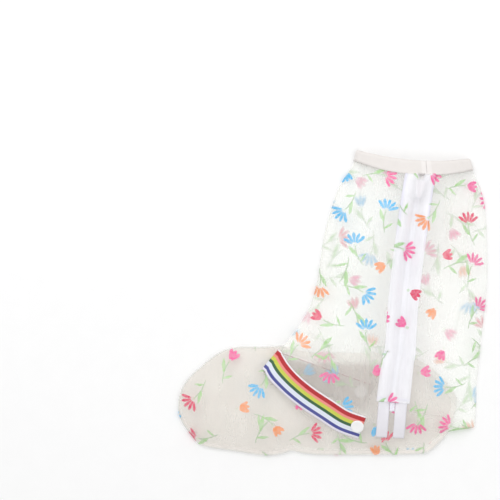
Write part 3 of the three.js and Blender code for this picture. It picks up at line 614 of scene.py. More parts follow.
# Creases in the near panel, from one place to another, in shares of the foot's length from the
# heel and of its width from the outer edge, with half width and depth in millimetres
CREASES = table(
    "from to wide deep",
    ((0.345, 1.00), (0.350, 0.30), 2.1, -0.5),
    ((0.325, 1.00), (0.330, 0.35), 1.8, 0.4),
    ((0.55, 0.97), (0.42, 0.62), 2.9, 0.8),
    ((0.50, 1.00), (0.36, 0.80), 2.6, 0.7),
    ((0.12, 0.92), (-0.02, 0.40), 3.1, 0.9),
    ((0.20, 0.42), (-0.03, 0.30), 2.3, 0.8),
    ((0.24, 0.30), (0.06, 0.22), 2.0, 0.7),
    ((0.03, 0.60), (-0.06, 0.35), 1.8, 0.6),
    ((0.10, 0.55), (0.02, 0.26), 1.6, 0.6),
    ((0.30, 0.12), (0.12, 0.10), 2.1, 0.5),
    ((0.92, 0.70), (0.90, 0.30), 2.1, 0.5),
    ((0.86, 0.82), (0.85, 0.52), 1.6, 0.45),
    ((0.83, 0.50), (0.82, 0.20), 1.8, 0.45),
    ((0.76, 0.84), (0.74, 0.46), 2.1, 0.5),
    ((0.74, 0.40), (0.70, 0.14), 1.7, 0.45),
    ((0.67, 0.36), (0.64, 0.10), 2.1, 0.4),
    ((0.60, 0.50), (0.48, 0.22), 2.3, 0.5),
    ((-0.02, 2.72), (0.06, 2.10), 3.9, 1.1),
    ((0.33, 2.70), (0.38, 2.15), 3.4, 0.7),
    ((-0.05, 2.50), (-0.02, 1.90), 3.1, 0.8),
    ((0.05, 2.62), (0.04, 1.80), 2.3, 0.6),
    ((0.18, 2.66), (0.20, 2.30), 2.1, 0.5),
    ((0.43, 2.30), (0.47, 1.60), 3.1, 0.5),
    ((0.50, 1.70), (0.54, 1.20), 2.9, 0.6),
    ((0.58, 1.20), (0.46, 1.02), 3.1, 0.9),
    ((-0.02, 1.50), (0.02, 1.05), 2.9, 0.6),
)
RIPPLE_SIZES = ((26 * MM, 0.7 * MM), (11 * MM, 0.28 * MM), (5 * MM, 0.10 * MM))


def relief(spots, room):
    """How far creases and ripples move the near panel at each spot, and where its crease lines are."""
    spots = np.array([tuple(spot) for spot in spots])
    depth, line = np.zeros(len(spots)), np.zeros(len(spots))
    for row in CREASES:
        start = np.array(foot_point(*row["from"]))
        run = np.array(foot_point(*row["to"])) - start
        share = np.clip(((spots - start) @ run) / (run @ run), 0, 1)
        away = np.linalg.norm(spots - start - share[:, None] * run, axis=1) / (row["wide"] * MM)
        taper = np.sin(np.pi * (0.08 + 0.84 * share))
        depth += row["deep"] * MM * np.exp(-away * away) * taper
        line = np.maximum(line, np.exp(-2 * away * away) * taper)
    ripple = np.zeros(len(spots))
    for k, (size, height) in enumerate(RIPPLE_SIZES):
        ripple += [
            height * noise.noise(Vector((x / size, y / size * 0.7, 7.3 * k))) for x, y in spots
        ]
    fade = smooth_step(room, 1.5 * MM, 12 * MM)
    return (ripple - depth) * fade, line * fade


# Printed flowers: the print is a scatter of small flowers and leafy stems, one to each cell of
# a staggered lattice, turned and shifted at random
lattice, (vector, cell, turn, seed, shift), gives = new_group(
    "print_lattice", "Vector Cell Turn Seed Shift", "Local Pick Other"
)
x, y, _ = vector.turned(turn).vector("SCALE", {"Scale": 1.0 / cell}).parts()
row = y.math("FLOOR")
x = x + row.math("PINGPONG", 1.0) * 0.5
column = x.math("FLOOR")
cell_place = combined(lattice, column, row, seed)
luck = terms(lattice, "ShaderNodeTexWhiteNoise", {"Vector": cell_place}, noise_dimensions="3D")
shares = list(terms(lattice, "ShaderNodeSeparateColor", {0: luck["Color"]}).values())
sides = [
    (value - corner - 0.5 - (share - 0.5) * shift) * cell
    for value, corner, share in ((x, column, shares[0]), (y, row, shares[1]))
]
feed(
    gives, Local=combined(lattice, *sides).turned(luck["Value"] * (2 * math.pi)), Pick=shares[2],
    Other=(luck["Value"] * 17.3).math("FRACT"),
)


def soft_edge(value, soft):
    """One inside a printed shape and nothing outside, over a soft edge. value is 1 at its middle."""
    return value.between(soft * -1.0, soft)


def hump(*sides):
    """1 in the middle of a round shape, 0 on its edge."""
    total = sides[0] * sides[0]
    for side in sides[1:]:
        total = total + side * side
    return 1.0 - total


# A flower is a fan of three or five separate petals, at the top of its cell
PETAL_MIDDLE, PETAL_REACH = 0.60, 0.40
FLOWER_FOOT = 0.10
BASE_SIZE = 0.11
flower, (local, size, five, step, half_petal, soft), gives = new_group(
    "printed_flower", "Local Size Five Step Half Soft", "Petals Base"
)
x, y, _ = local.vector("SCALE", {"Scale": 1.0 / size}).parts()
y = y - FLOWER_FOOT
reach = combined(flower, x, y).vector("LENGTH", {}, "Value")
angle = x.math("ARCTAN2", y)
most = five + 1.0
nearest = (angle / step).math("ROUND").math("MINIMUM", most).math("MAXIMUM", most * -1.0)
turn = angle - nearest * step
aside = reach * turn.math("SINE") / (half_petal * (reach * 0.75 + 0.55))
ahead = (reach - PETAL_MIDDLE) / PETAL_REACH
feed(gives, Petals=soft_edge(hump(aside, ahead), soft), Base=soft_edge(hump(reach / BASE_SIZE), soft))

# A stem is a thin bent line from the flower's foot down, with two leaves
STEM_BEND, STEM_HALF, STEM_REACH, STEM_MIDDLE = 0.36, 0.030, 0.48, -0.44
LEAVES = table(
    "x y turn half wide",
    (-0.12, -0.20, 0.60, 0.34, 0.085),
    (0.33, -0.55, -0.70, 0.25, 0.056),
)
stem, (local, size, soft), gives = new_group("printed_stem", "Local Size Soft", "Stem Leaf")
shape = local.vector("SCALE", {"Scale": 1.0 / size})
x, y, _ = shape.parts()
beside = (x - y * y * STEM_BEND) / STEM_HALF
along = (y - STEM_MIDDLE) / STEM_REACH
line = 1.0 - (beside * beside + along.math("ABSOLUTE").math("POWER", 6.0))
leaf_masks = []
for leaf in LEAVES:
    x, y, _ = shape.vector("SUBTRACT", {1: (leaf["x"], leaf["y"], 0.0)}).turned(-leaf["turn"]).parts()
    lens = hump(y / leaf["half"]) - x.math("ABSOLUTE") / leaf["wide"]
    leaf_masks.append(soft_edge(lens, soft))
feed(gives, Stem=soft_edge(line, soft * 2.5), Leaf=leaf_masks[0].math("MAXIMUM", leaf_masks[1]))

PETAL_COLOURS = (
    (0.00, srgb(242, 98, 160)),
    (0.26, srgb(86, 186, 236)),
    (0.52, srgb(246, 156, 104)),
    (0.80, srgb(230, 70, 108)),
)
LEAF_COLOUR, STEM_COLOUR = srgb(156, 206, 128), srgb(156, 186, 142)
PRINT_CELL, SPARE_CELL = 40 * MM, 46.4 * MM
FLOWER_SIZE, STEM_SIZE, SPARE_STEM_SIZE = 13.5 * MM, 22 * MM, 27 * MM
FLOWER_LIFT, SPARE_LIFT = 4 * MM, 9 * MM
# Angle from petal to petal, and half a petal's width
DAISY_STEP, TULIP_STEP = 0.46, 0.38
DAISY_HALF, TULIP_HALF = 0.110, 0.140
STEMMED_SHARE, SPARE_SHARE = 0.72, 0.34
# Painted shade: where the far panel's pleat lies over the sole it gets a darker warm grey tint. Its extra
# milk stands for the extra layers of film there.
PLEAT_SHADE_TINT, PLEAT_MILK = srgb(166, 151, 145), 0.22
# Painted shade: a darker grey tint along the creases and the rim's fold, with a little more milk there.
CREASE_SHADE_TINT, CREASE_MILK = srgb(206, 208, 200), 0.14
BLACK = (0.0, 0.0, 0.0, 1.0)


def laid(tree):
    """A place on the piece's own flat layout."""
    return term(tree, "ShaderNodeUVMap", uv_map="lay")


def share_of(tree, name):
    return term(tree, "ShaderNodeAttribute", output="Fac", attribute_name=name)


def ramp(value, stops):
    """Plain steps of colour, each from its start."""
    node = feed(value.tree.nodes.new("ShaderNodeValToRGB"), {0: value})
    node.color_ramp.interpolation = "CONSTANT"
    while len(node.color_ramp.elements) < len(stops):
        node.color_ramp.elements.new(0.9)
    for element, (start, colour) in zip(node.color_ramp.elements, stops):
        element.position, element.color = start, colour
    return Term(value.tree, node.outputs[0])


def film_finish(name, look):
    """Milky film with the print on it. look names its seeds, softness and clarity."""
    material, tree, shader = new_finish(name, IOR=1.46, Coat_Weight=0.15, Coat_Roughness=0.2)
    spot = object_place(tree)
    wobble = spot.noise(260.0, 2.0, "Color").vector("ADD", {1: (-0.5, -0.5, -0.5)})
    drawn = wobble.vector("SCALE", {"Scale": look["wobble"]}).vector("ADD", {1: laid(tree)})
    soft, turn, seed = look["soft"], look["turn"], look["seed"]
    cells = use_group(tree, lattice, Vector=drawn, Cell=PRINT_CELL, Turn=turn, Seed=seed, Shift=0.12)
    spare = use_group(
        tree, lattice, Vector=drawn, Cell=SPARE_CELL, Turn=turn + 0.9, Seed=seed + 3.0, Shift=0.3
    )
    tulip = cells["Other"].math("GREATER_THAN", 0.5)
    motif = cells["Local"].vector("SUBTRACT", {1: (0.0, FLOWER_LIFT, 0.0)})
    bloom = use_group(
        tree, flower, Local=motif, Size=FLOWER_SIZE, Soft=soft, Five=1.0 - tulip,
        Step=DAISY_STEP + tulip * (TULIP_STEP - DAISY_STEP),
        Half=DAISY_HALF + tulip * (TULIP_HALF - DAISY_HALF),
    )
    own = use_group(tree, stem, Local=motif, Size=STEM_SIZE, Soft=soft * 0.8)
    spare_motif = spare["Local"].vector("SUBTRACT", {1: (0.0, SPARE_LIFT, 0.0)})
    loose = use_group(tree, stem, Local=spare_motif, Size=SPARE_STEM_SIZE, Soft=soft * 0.8)
    stemmed = cells["Other"].math("LESS_THAN", STEMMED_SHARE)
    present = spare["Other"].math("LESS_THAN", SPARE_SHARE)
    leaf_print, stem_print = (
        (own[part] * stemmed).math("MAXIMUM", loose[part] * present) for part in ("Leaf", "Stem")
    )
    wash = spot.noise(420.0, 3.0)
    petals = bloom["Petals"].math("MULTIPLY", wash * 0.6 + 0.62, clamp=True)
    leaves = leaf_print.math("MULTIPLY", wash * 0.9 + 0.35, clamp=True)
    stalks = stem_print * 0.8
    inked = petals.math("MAXIMUM", leaves).math("MAXIMUM", stalks)

    clouds = spot.noise(24.0, 3.0)
    weld, pleat_shade, crease_shade = (share_of(tree, part) for part in ("weld", "pleat_shade", "crease_shade"))
    base = weld.mix(clouds.mix(look["tint"], look["tint_pale"]), look["weld_tint"])
    # Painted shade: darker tints where the pleat lies over the sole, and along the creases and the rim.
    base = (crease_shade * 0.7).mix(pleat_shade.mix(base, PLEAT_SHADE_TINT), CREASE_SHADE_TINT)
    colour = leaves.mix(stalks.mix(base, STEM_COLOUR), LEAF_COLOUR)
    colour = (bloom["Base"] * 0.6).mix(colour, LEAF_COLOUR)
    colour = petals.mix(colour, ramp(cells["Pick"], PETAL_COLOURS))

    streaks = spot.stretched((330.0, 30.0, 40.0)).noise(1.0, 4.0, Roughness=0.6)
    # Painted highlights: thin pearly lines along the wrinkles, drawn as extra milk from ridged noise.
    slanted = spot.stretched((58.0, 19.0, 30.0), 0.25)
    painted_glints = slanted.noise(1.0, 3.0, kind="RIDGED_MULTIFRACTAL", Distortion=0.6)
    cloudy = clouds * 0.16 + streaks * 0.13 + (look["alpha"] - 0.145)
    cloudy = cloudy + painted_glints.between(0.72, 1.05) * look["painted_glints"] * 0.35
    milk = cloudy + weld * look["weld_alpha"] + pleat_shade * PLEAT_MILK + crease_shade * CREASE_MILK
    milk = milk.math("ADD", (1.0 - milk) * (inked * look["strength"]), clamp=True)
    inner = term(tree, "ShaderNodeNewGeometry", output="Backfacing")
    crinkle = spot.noise(90.0, 5.0, Roughness=0.62, Distortion=0.8)
    fine_lines = spot.stretched((520.0, 46.0, 60.0)).noise(1.0, 3.0)
    feed(
        shader, Base_Color=colour, Emission_Color=inked.mix(base, BLACK), Emission_Strength=look["glow"],
        Alpha=milk * (1.0 - inner), Roughness=crinkle * 0.24 + 0.22,
        Normal=(crinkle + fine_lines * 0.16).bump(look["crinkle"], 1 * MM),
    )
    return material


# The glow stands in for the light that the film scatters on through itself
NEAR_LOOK = {
    "seed": 11.0, "turn": 0.35, "soft": 0.16, "wobble": 1.6 * MM, "strength": 0.95, "alpha": 0.25,
    "tint": srgb(234, 236, 231), "tint_pale": srgb(246, 247, 243), "weld_tint": srgb(246, 244, 240),
    "weld_alpha": 0.10, "crinkle": 0.22, "glow": 0.24, "painted_glints": 0.35,
}
FAR_LOOK = {
    "seed": 29.0, "turn": 1.25, "soft": 1.30, "wobble": 2.0 * MM, "strength": 0.50, "alpha": 0.24,
    "tint": srgb(232, 234, 230), "tint_pale": srgb(243, 244, 241), "weld_tint": srgb(240, 240, 236),
    "weld_alpha": 0.1, "crinkle": 0.20, "glow": 0.22, "painted_glints": 0.2,
}
near_finish = film_finish("near_film", NEAR_LOOK)
far_finish = film_finish("far_film", FAR_LOOK)


def lay_uv(piece, places):
    """The print's flat layout on a panel: each point's place on the flat film, in metres."""
    mesh = piece.data
    layer = mesh.uv_layers.new(name="lay")
    corners = np.empty(len(mesh.loops), dtype=np.int32)
    mesh.loops.foreach_get("vertex_index", corners)
    layer.data.foreach_set("uv", np.array(places, dtype=np.float32)[corners].ravel())


def mark(piece, name, values):
    """A share from 0 to 1 at each point, which the material reads."""
    entry = piece.data.attributes.new(name, "FLOAT", "POINT")
    entry.data.foreach_set("value", np.array(values, dtype=np.float32))


def give_thickness(piece, thick):
    """A wall under a sheet."""
    wall = piece.modifiers.new("wall", "SOLIDIFY")
    wall.thickness = thick
    wall.offset = -1.0
    wall.use_even_offset = False


BAND_HEIGHT = 12 * MM
# Middle line of the zip: x as a share of LEG_WIDTH, rise above the sole's inner edge as a share
# of LEG_RISE, and drop below it as a share of the foot's width
ZIP_ROWS = table(
    "x rise drop",
    (-0.207, 0.925, 0.000),
    (-0.236, 0.820, 0.000),
    (-0.299, 0.483, 0.000),
    (-0.332, 0.236, 0.000),
    (-0.356, 0.000, 0.020),
    (-0.399, 0.000, 0.480),
    (-0.411, 0.000, 0.785),
)
ZIP_SPACING = 1.5 * MM
PRINT_STEP = Vector((23 * MM, 14 * MM))
CUT_INSIDE = 9 * MM
zip_line = resampled([
    Vector((
        heel.x + row["x"] * LEG_WIDTH,
        heel.y + ankle_edge + row["rise"] * LEG_RISE - row["drop"] * foot_width,
    ))
    for row in refine(ZIP_ROWS, 12)
], ZIP_SPACING, closed=False)

FAR_SPACING, NEAR_SPACING = 3.4 * MM, 1.9 * MM
FAR_SMOOTHING, NEAR_SMOOTHING = 6, 26
CORNER_ROOM = 0.8 * MM
FOLD_LEVEL = 0.35 * MM
# The solid's rim is made of straight runs, so heights by the rim are looked up a little further in
RIM_LOOK, LOOK_IN = 2.5 * MM, 0.7 * MM

# The far panel ends on the sole's edge, and over the sole only its pleat goes on
window_outline = inset(sole_outline, SOLE_LIP)
window_tree = flat_tree(window_outline)
far_outline = with_corners(leg_outline, RIM_SPACING)
spots, triangles = skin_plan(far_outline, FAR_SPACING, [window_outline])
room = gaps_to(spots, far_outline)
leg_tree = flat_tree(leg_outline)
levels = []
for spot, gap in zip(spots, room):
    inward = spot
    if gap < NUDGE:
        toward = min(leg_rows, key=lambda r: abs(leg_place(r, 0.5).y - spot.y))
        inward = spot + (leg_place(toward, 0.5) - spot).normalized() * NUDGE * 2
    found = hits_below(*inward)
    levels.append(found[2] if len(found) >= 4 else (found[-1] + FOLD_LEVEL if found else FOLD_LEVEL))
kept = []
for face in triangles:
    middle = sum((spots[k] for k in face), Vector((0, 0))) / 3
    inside_leg = leg_tree.ray_cast(Vector((*middle, 1.0)), DOWN)[0] is not None
    over_sole = window_tree.ray_cast(Vector((*middle, 1.0)), DOWN)[0] is not None
    if inside_leg and (not over_sole or len(hits_below(*middle)) >= 4):
        kept.append(face)
used = sorted({k for face in kept for k in face})
order = {k: i for i, k in enumerate(used)}
kept = [tuple(order[k] for k in face) for face in kept]
spots = [spots[k] for k in used]
room = room[used]
links = neighbours(kept, len(spots))
weights = smooth_step(room, 0.5 * MM, 4 * MM)
levels = smoothed(np.array([levels[k] for k in used]), links, weights, FAR_SMOOTHING)
flutter = np.array([noise.noise(Vector((s.x / 0.03, s.y / 0.02, 4.1))) for s in spots])
levels += 0.35 * MM * flutter * smooth_step(room, 1 * MM, 10 * MM)
far_film = new_piece(
    "far_film", [(s.x, s.y, max(z, FILM_THICK)) for s, z in zip(spots, levels)], kept, far_finish,
    "upper_film",
)
lay_uv(far_film, [tuple(spot) for spot in spots])
mark(far_film, "weld", np.zeros(len(spots)))
over_sole = [window_tree.ray_cast(Vector((*spot, 1.0)), DOWN)[0] is not None for spot in spots]
# The pleat over the sole is marked for painted shade, a darker warm grey, and for more milk.
mark(far_film, "pleat_shade", np.array(over_sole) * smooth_step(gaps_to(spots, window_outline), 0, 8 * MM))
give_thickness(far_film, 0.8 * FILM_THICK)

# The near panel covers the foot and the leg in one sheet, down to the ground round the sole
spots, triangles = skin_plan(bag_outline, NEAR_SPACING)
room = gaps_to(spots, bag_outline)
mouth_room = gaps_to(spots, mouth_line, closed=False)
corner_room = np.min([
    np.linalg.norm(np.array([tuple(s) for s in spots]) - np.array(end), axis=1)
    for end in (mouth_line[0], mouth_line[-1])
], axis=0)
rim_keys = np.array([tuple(p) for p in bag_outline])
rim_inner = inset(bag_outline, 2 * NUDGE)
levels = []
for spot, gap, mouth_gap, corner_gap in zip(spots, room, mouth_room, corner_room):
    inward = spot
    if gap < RIM_LOOK:
        k = int(np.argmin(np.linalg.norm(rim_keys - np.array(spot), axis=1)))
        way = (rim_inner[k] - bag_outline[k]).normalized()
        inward = spot + way * (2 * NUDGE if gap < NUDGE else LOOK_IN)
    found = hits_below(*inward) or (gap < RIM_LOOK and hits_below(*(inward + way * LOOK_IN)))
    if not found:
        levels.append(FOLD_LEVEL)
    elif gap < NUDGE and (mouth_gap > 0.2 * MM or corner_gap < CORNER_ROOM):
        levels.append(found[-1] + FOLD_LEVEL)
    else:
        levels.append(found[0])
links = neighbours(triangles, len(spots))
levels = np.array(levels)
free = smooth_step(mouth_room, BAND_HEIGHT + 1 * MM, BAND_HEIGHT + 14 * MM)
levels = smoothed(levels, links, free * smooth_step(room, 1.5 * MM, 14 * MM), NEAR_SMOOTHING)
calm = 0.2 + 0.8 * smooth_step(gaps_to(spots, zip_line, closed=False), 14 * MM, 26 * MM)
moved, crease_lines = relief(spots, room)
levels += moved * free * calm


def print_step(spot):
    """The print behind the zip is a cut of its own, so it doesn't meet the print before the zip."""
    k = min(range(len(zip_line)), key=lambda i: (zip_line[i] - spot).length_squared)
    return PRINT_STEP if spot.x - zip_line[k].x > -CUT_INSIDE else Vector((0, 0))


near_film = new_piece(
    "near_film", [(s.x, s.y, z) for s, z in zip(spots, levels)], triangles, near_finish, "upper_film"
)
lay_uv(near_film, [tuple(spot + print_step(spot)) for spot in spots])
sole_seam = (1 - smooth_step(room, 4.5 * MM, 6.0 * MM)) * (
    1 - smooth_step(gaps_to(spots, film_outline), 5.0 * MM, 8.0 * MM))
sole_seam *= 1 - smooth_step(np.array([(s.y - heel.y) / foot_width for s in spots]), 0.30, 0.60)
front_fold = [leg_place(row, 0) for row in leg_rows if row["frontY"] > heel.y + ankle_edge + 4 * MM]
front_seam = 0.5 * (1 - smooth_step(gaps_to(spots, front_fold, closed=False), 7.0 * MM, 8.2 * MM))
mark(near_film, "weld", np.maximum(sole_seam, front_seam))
mark(near_film, "pleat_shade", np.zeros(len(spots)))
# The rim's fold and the crease lines are marked for painted shade in the film's material.
rim_shade = 0.9 * (1 - smooth_step(room, 0.6 * MM, 1.8 * MM))
mark(near_film, "crease_shade", np.maximum(rim_shade, crease_lines * free * calm))
near_tree = BVHTree.FromPolygons([v.co for v in near_film.data.vertices], triangles)
give_thickness(near_film, FILM_THICK)


def film_top(x, y):
    """Height of the near panel at a place."""
    hit = near_tree.ray_cast(Vector((x, y, SKY)), DOWN)[0]
    return hit.z if hit else 0.0


# Zip
# The real zip is two woven polyester tapes stitched and welded to the slit film, a closed row of
# moulded teeth and a small slider. Both tapes end loose at the foot of the zip.
GAP = 0.3 * MM
TAPE_WIDTH, TAPE_THICK = 12 * MM, 0.6 * MM
CHAIN_WIDTH, CHAIN_THICK = 5.2 * MM, 2.0 * MM
TAPE_INNER = CHAIN_WIDTH / 2 + GAP
TAPE_OUTER = TAPE_INNER + TAPE_WIDTH
FLAP_OVERLAP, FLAP_THICK = 2.5 * MM, 0.5 * MM
CHAIN_TOP = GAP + CHAIN_THICK + GAP
CHAIN_END, FLAP_END = 0.90, 0.87
BED_HALF = TAPE_OUTER + FLAP_OVERLAP + 1 * MM
BED_COLUMNS = 25
ZIP_TOP = 14.4 * MM

zip_sides = []
for i in range(len(zip_line)):
    way = (zip_line[min(i + 1, len(zip_line) - 1)] - zip_line[max(i - 1, 0)]).normalized()
    zip_sides.append(Vector((-way.y, way.x)))
bed_away = np.linspace(-BED_HALF, BED_HALF, BED_COLUMNS)
bed = np.array([
    [film_top(*(point + side * away)) for away in bed_away] for point, side in zip(zip_line, zip_sides)
])
for _ in range(4):
    eased = bed.copy()
    eased[1:-1] = (bed[:-2] + 2 * bed[1:-1] + bed[2:]) / 4
    bed = np.maximum(bed, eased)
zip_start = next(i for i, gap in enumerate(gaps_to(zip_line, mouth_line, closed=False)) if gap > ZIP_TOP)


def bed_height(i, away):
    return float(np.interp(away, bed_away, bed[i]))


BACK_DRAW = 0.21
FULL_FROM, FULL_AT = 170 * MM, 240 * MM


def drawn_in(i, away):
    """The zip is narrower behind its teeth along the leg, and has its full width over the foot."""
    if away <= TAPE_INNER:
        return away
    full = float(smooth_step(np.array(i * ZIP_SPACING), FULL_FROM, FULL_AT))
    return TAPE_INNER + (away - TAPE_INNER) * (1 - BACK_DRAW * (1 - full))


START_SLANT, SLANT_ROWS = 0.20, 10


def zip_spot(i, away):
    """A place on the zip and the film's height there. The zip's upper end runs along the band."""
    reach, side = drawn_in(i, away), zip_sides[i]
    slant = START_SLANT * (away + TAPE_OUTER) * max(0.0, 1 - (i - zip_start) / SLANT_ROWS)
    row = i - slant / ZIP_SPACING
    low = int(row)
    here, after = bed_height(low, reach), bed_height(min(low + 1, len(bed) - 1), reach)
    spot = zip_line[i] + side * reach + Vector((-side.y, side.x)) * slant
    return spot, here + (after - here) * (row - low)


def zip_strip(name, start, end, columns, lift, finish, replaced, thick, printed=False):
    """A strip along the zip. columns are its sideways places, and lift(i, away) its top."""
    points, places = [], []
    for i in range(start, end + 1):
        for away in columns:
            spot, level = zip_spot(i, away)
            points.append((*spot, level + lift(i, away)))
            places.append(tuple(spot + PRINT_STEP) if printed else (away, i * ZIP_SPACING))
    faces = grid_faces(end - start + 1, len(columns))
    strip = new_piece(name, points, faces, finish, replaced)
    lay_uv(strip, places)
    give_thickness(strip, thick)
    return strip


weave, (vector, rib, thread), gives = new_group("woven_ribs", "Vector Rib Thread", "Height Tone")
x, y, _ = vector.parts()
ribs, threads = (y * (2 * math.pi) / rib).math("SINE"), (x * (2 * math.pi) / thread).math("SINE")
fuzz, patches = vector.noise(1500.0, 2.0), vector.noise(60.0, 2.0)
feed(gives, Height=ribs * 0.30 + threads * 0.22 + fuzz, Tone=patches * 0.7 + fuzz * 0.3)


def cloth_finish(name, rib, thread, relief, **uniform):
    """A woven material on the piece's own layout, still to be given its colour."""
    material, tree, shader = new_finish(name, **uniform)
    lay = laid(tree)
    cloth = use_group(tree, weave, Vector=lay, Rib=rib, Thread=thread)
    feed(shader, Normal=cloth["Height"].bump(*relief))
    return material, shader, lay, cloth


tape_finish, shader, _, cloth = cloth_finish(
    "woven_tape", 0.9 * MM, 1.3 * MM, (0.5, 0.3 * MM), Roughness=0.85, Sheen_Weight=0.15
)
feed(shader, Base_Color=cloth["Tone"].mix(srgb(228, 226, 233), srgb(241, 239, 244)))
zip_end = len(zip_line) - 1
for sign, name in ((-1, "zip_tape_front"), (1, "zip_tape_back")):
    columns = [sign * (TAPE_INNER + TAPE_WIDTH * k / 8) for k in range(9)][::sign]
    zip_strip(
        name.replace("zip_", "woven_"), zip_start, zip_end, columns, lambda i, away: GAP + TAPE_THICK,
        tape_finish, name, TAPE_THICK,
    )

# Teeth, one after the other along the zip line
TOOTH_PITCH = 1.6 * MM
chain_finish = grained_finish(
    "moulded_teeth", 1200.0, srgb(226, 225, 236), srgb(244, 243, 249), (0.15, 0.2 * MM), Roughness=0.4
)
CHAIN_LATE = 3
chain_start, chain_end = zip_start + CHAIN_LATE, round(CHAIN_END * zip_end)
core_columns = [CHAIN_WIDTH * share for share in (-0.5, -0.42, -0.2, 0, 0.2, 0.42, 0.5)]
zip_strip(
    "zip_chain_core", chain_start, chain_end, core_columns,
    lambda i, away: GAP + 0.5 * CHAIN_THICK * (1.15 - (2 * away / CHAIN_WIDTH) ** 2 * 0.5),
    chain_finish, "zip_chain", 0.8 * MM,
)

line_mesh = bpy.data.meshes.new("zip_teeth")
line_points = [
    (*zip_line[i], bed_height(i, 0) + GAP + 0.62 * CHAIN_THICK) for i in range(chain_start, chain_end + 1)
]
line_mesh.from_pydata(line_points, [(i, i + 1) for i in range(len(line_points) - 1)], [])
teeth = bpy.data.objects.new("zip_teeth", line_mesh)
bpy.context.collection.objects.link(teeth)

teeth_tree, (line, pitch, reach, tooth), gives = new_group(
    "row_of_teeth", "Geometry Pitch Reach Tooth", "Geometry", "GeometryNodeTree"
)
curve = term(teeth_tree, "GeometryNodeMeshToCurve", {"Mesh": line})
evenly = term(teeth_tree, "GeometryNodeResampleCurve", {"Curve": curve, "Length": pitch}, mode="LENGTH")
dots = terms(teeth_tree, "GeometryNodeCurveToPoints", {"Curve": evenly}, mode="EVALUATED")
aside = (term(teeth_tree, "GeometryNodeInputIndex").math("MODULO", 2.0) - 0.5) * reach
box = term(teeth_tree, "GeometryNodeMeshCube", {"Size": tooth}, "Mesh")
rounded = term(teeth_tree, "GeometryNodeSubdivisionSurface", {"Mesh": box, "Level": 1, "Edge Crease": 0.55})
placed = term(teeth_tree, "GeometryNodeInstanceOnPoints", {
    "Points": dots["Points"], "Instance": rounded, "Rotation": dots["Rotation"],
})
shifted = term(teeth_tree, "GeometryNodeTranslateInstances", {
    "Instances": placed, "Translation": combined(teeth_tree, aside),
})
made = term(teeth_tree, "GeometryNodeRealizeInstances", {"Geometry": shifted})
painted = term(teeth_tree, "GeometryNodeSetMaterial", {"Geometry": made, "Material": chain_finish})
feed(gives, Geometry=painted)
row_of_teeth = teeth.modifiers.new("teeth", "NODES")
row_of_teeth.node_group = teeth_tree
TEETH_INPUTS = {"Pitch": TOOTH_PITCH, "Reach": 1.7 * MM, "Tooth": (2.9 * MM, 1.3 * MM, 1.15 * MM)}
for item in teeth_tree.interface.items_tree:
    if item.in_out == "INPUT" and item.name in TEETH_INPUTS:
        row_of_teeth[item.identifier] = TEETH_INPUTS[item.name]
evaluated = teeth.evaluated_get(bpy.context.evaluated_depsgraph_get())
teeth_mesh = bpy.data.meshes.new_from_object(evaluated)
teeth.modifiers.clear()
teeth.data = teeth_mesh
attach(teeth, "root")
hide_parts("zip_chain")

slider_finish = grained_finish(
    "painted_slider", 500.0, srgb(186, 172, 182), srgb(212, 202, 212), Roughness=0.45
)
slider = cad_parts["zip_slider"]
slider.data.materials.clear()
slider.data.materials.append(slider_finish)
slider_edge = slider.modifiers.new("edge", "BEVEL")
slider_edge.width = 0.25 * MM
slider_edge.segments = 2
slider_edge.limit_method = "ANGLE"
slider_tree = ray_tree("zip_slider")

# Flap
# A strip of the printed film, tinted lilac by the tapes under it. It is welded to the near panel
# along both edges and arches over the teeth and the slider.
flap_end = round(FLAP_END * zip_end)
flap_columns = [(TAPE_OUTER + FLAP_OVERLAP) * k / 18 for k in range(-18, 19)]
EDGE_RISE = 1.25 * MM
FLAP_PROFILE = (
    (0.0, CHAIN_TOP + 0.2 * MM),
    (2.6 * MM, CHAIN_TOP),
    (5.4 * MM, 1.5 * MM),
    (9.0 * MM, 1.25 * MM),
    (TAPE_OUTER + GAP, 1.2 * MM),
    (TAPE_OUTER + FLAP_OVERLAP, GAP + 0.1 * MM),
)
arch = [float(np.interp(abs(away), *zip(*FLAP_PROFILE))) for away in flap_columns]
floor_heights = np.zeros((flap_end - zip_start + 1, len(flap_columns)))
for i in range(zip_start, flap_end + 1):
    for j, away in enumerate(flap_columns):
        spot, level = zip_spot(i, away)
        hit = slider_tree.ray_cast(Vector((*spot, SKY)), DOWN)[0]
        rise = min(1.0, 0.1 + (i - zip_start) / CHAIN_LATE)
        arched = min(arch[j], EDGE_RISE + (arch[j] - EDGE_RISE) * rise)
        floor_heights[i - zip_start, j] = max(arched, hit.z + GAP - level if hit else 0) + FLAP_THICK
padded = np.pad(floor_heights, 1, mode="edge")
rows, columns = floor_heights.shape
floor_heights = np.max([
    padded[down:down + rows, along:along + columns] for down in range(3) for along in range(3)
], axis=0)
heights = floor_heights.copy()
for _ in range(60):
    eased = heights.copy()
    eased[1:-1, 1:-1] = (
        heights[:-2, 1:-1] + heights[2:, 1:-1] + heights[1:-1, :-2] + heights[1:-1, 2:]
    ) / 4
    heights = np.maximum(floor_heights, eased)
FLAP_LOOK = {
    **NEAR_LOOK, "strength": 0.90, "alpha": 0.62,
    "tint": srgb(226, 226, 228), "tint_pale": srgb(237, 237, 239), "weld_tint": srgb(204, 203, 214),
    "weld_alpha": 0.32, "crinkle": 0.2, "glow": 0.30, "painted_glints": 0.0,
}
flap_finish = film_finish("flap_film", FLAP_LOOK)
flap = zip_strip(
    "zip_flap_film", zip_start, flap_end, flap_columns,
    lambda i, away: float(np.interp(away, flap_columns, heights[i - zip_start])),
    flap_finish, "zip_flap", FLAP_THICK, printed=True,
)
edge_share = []
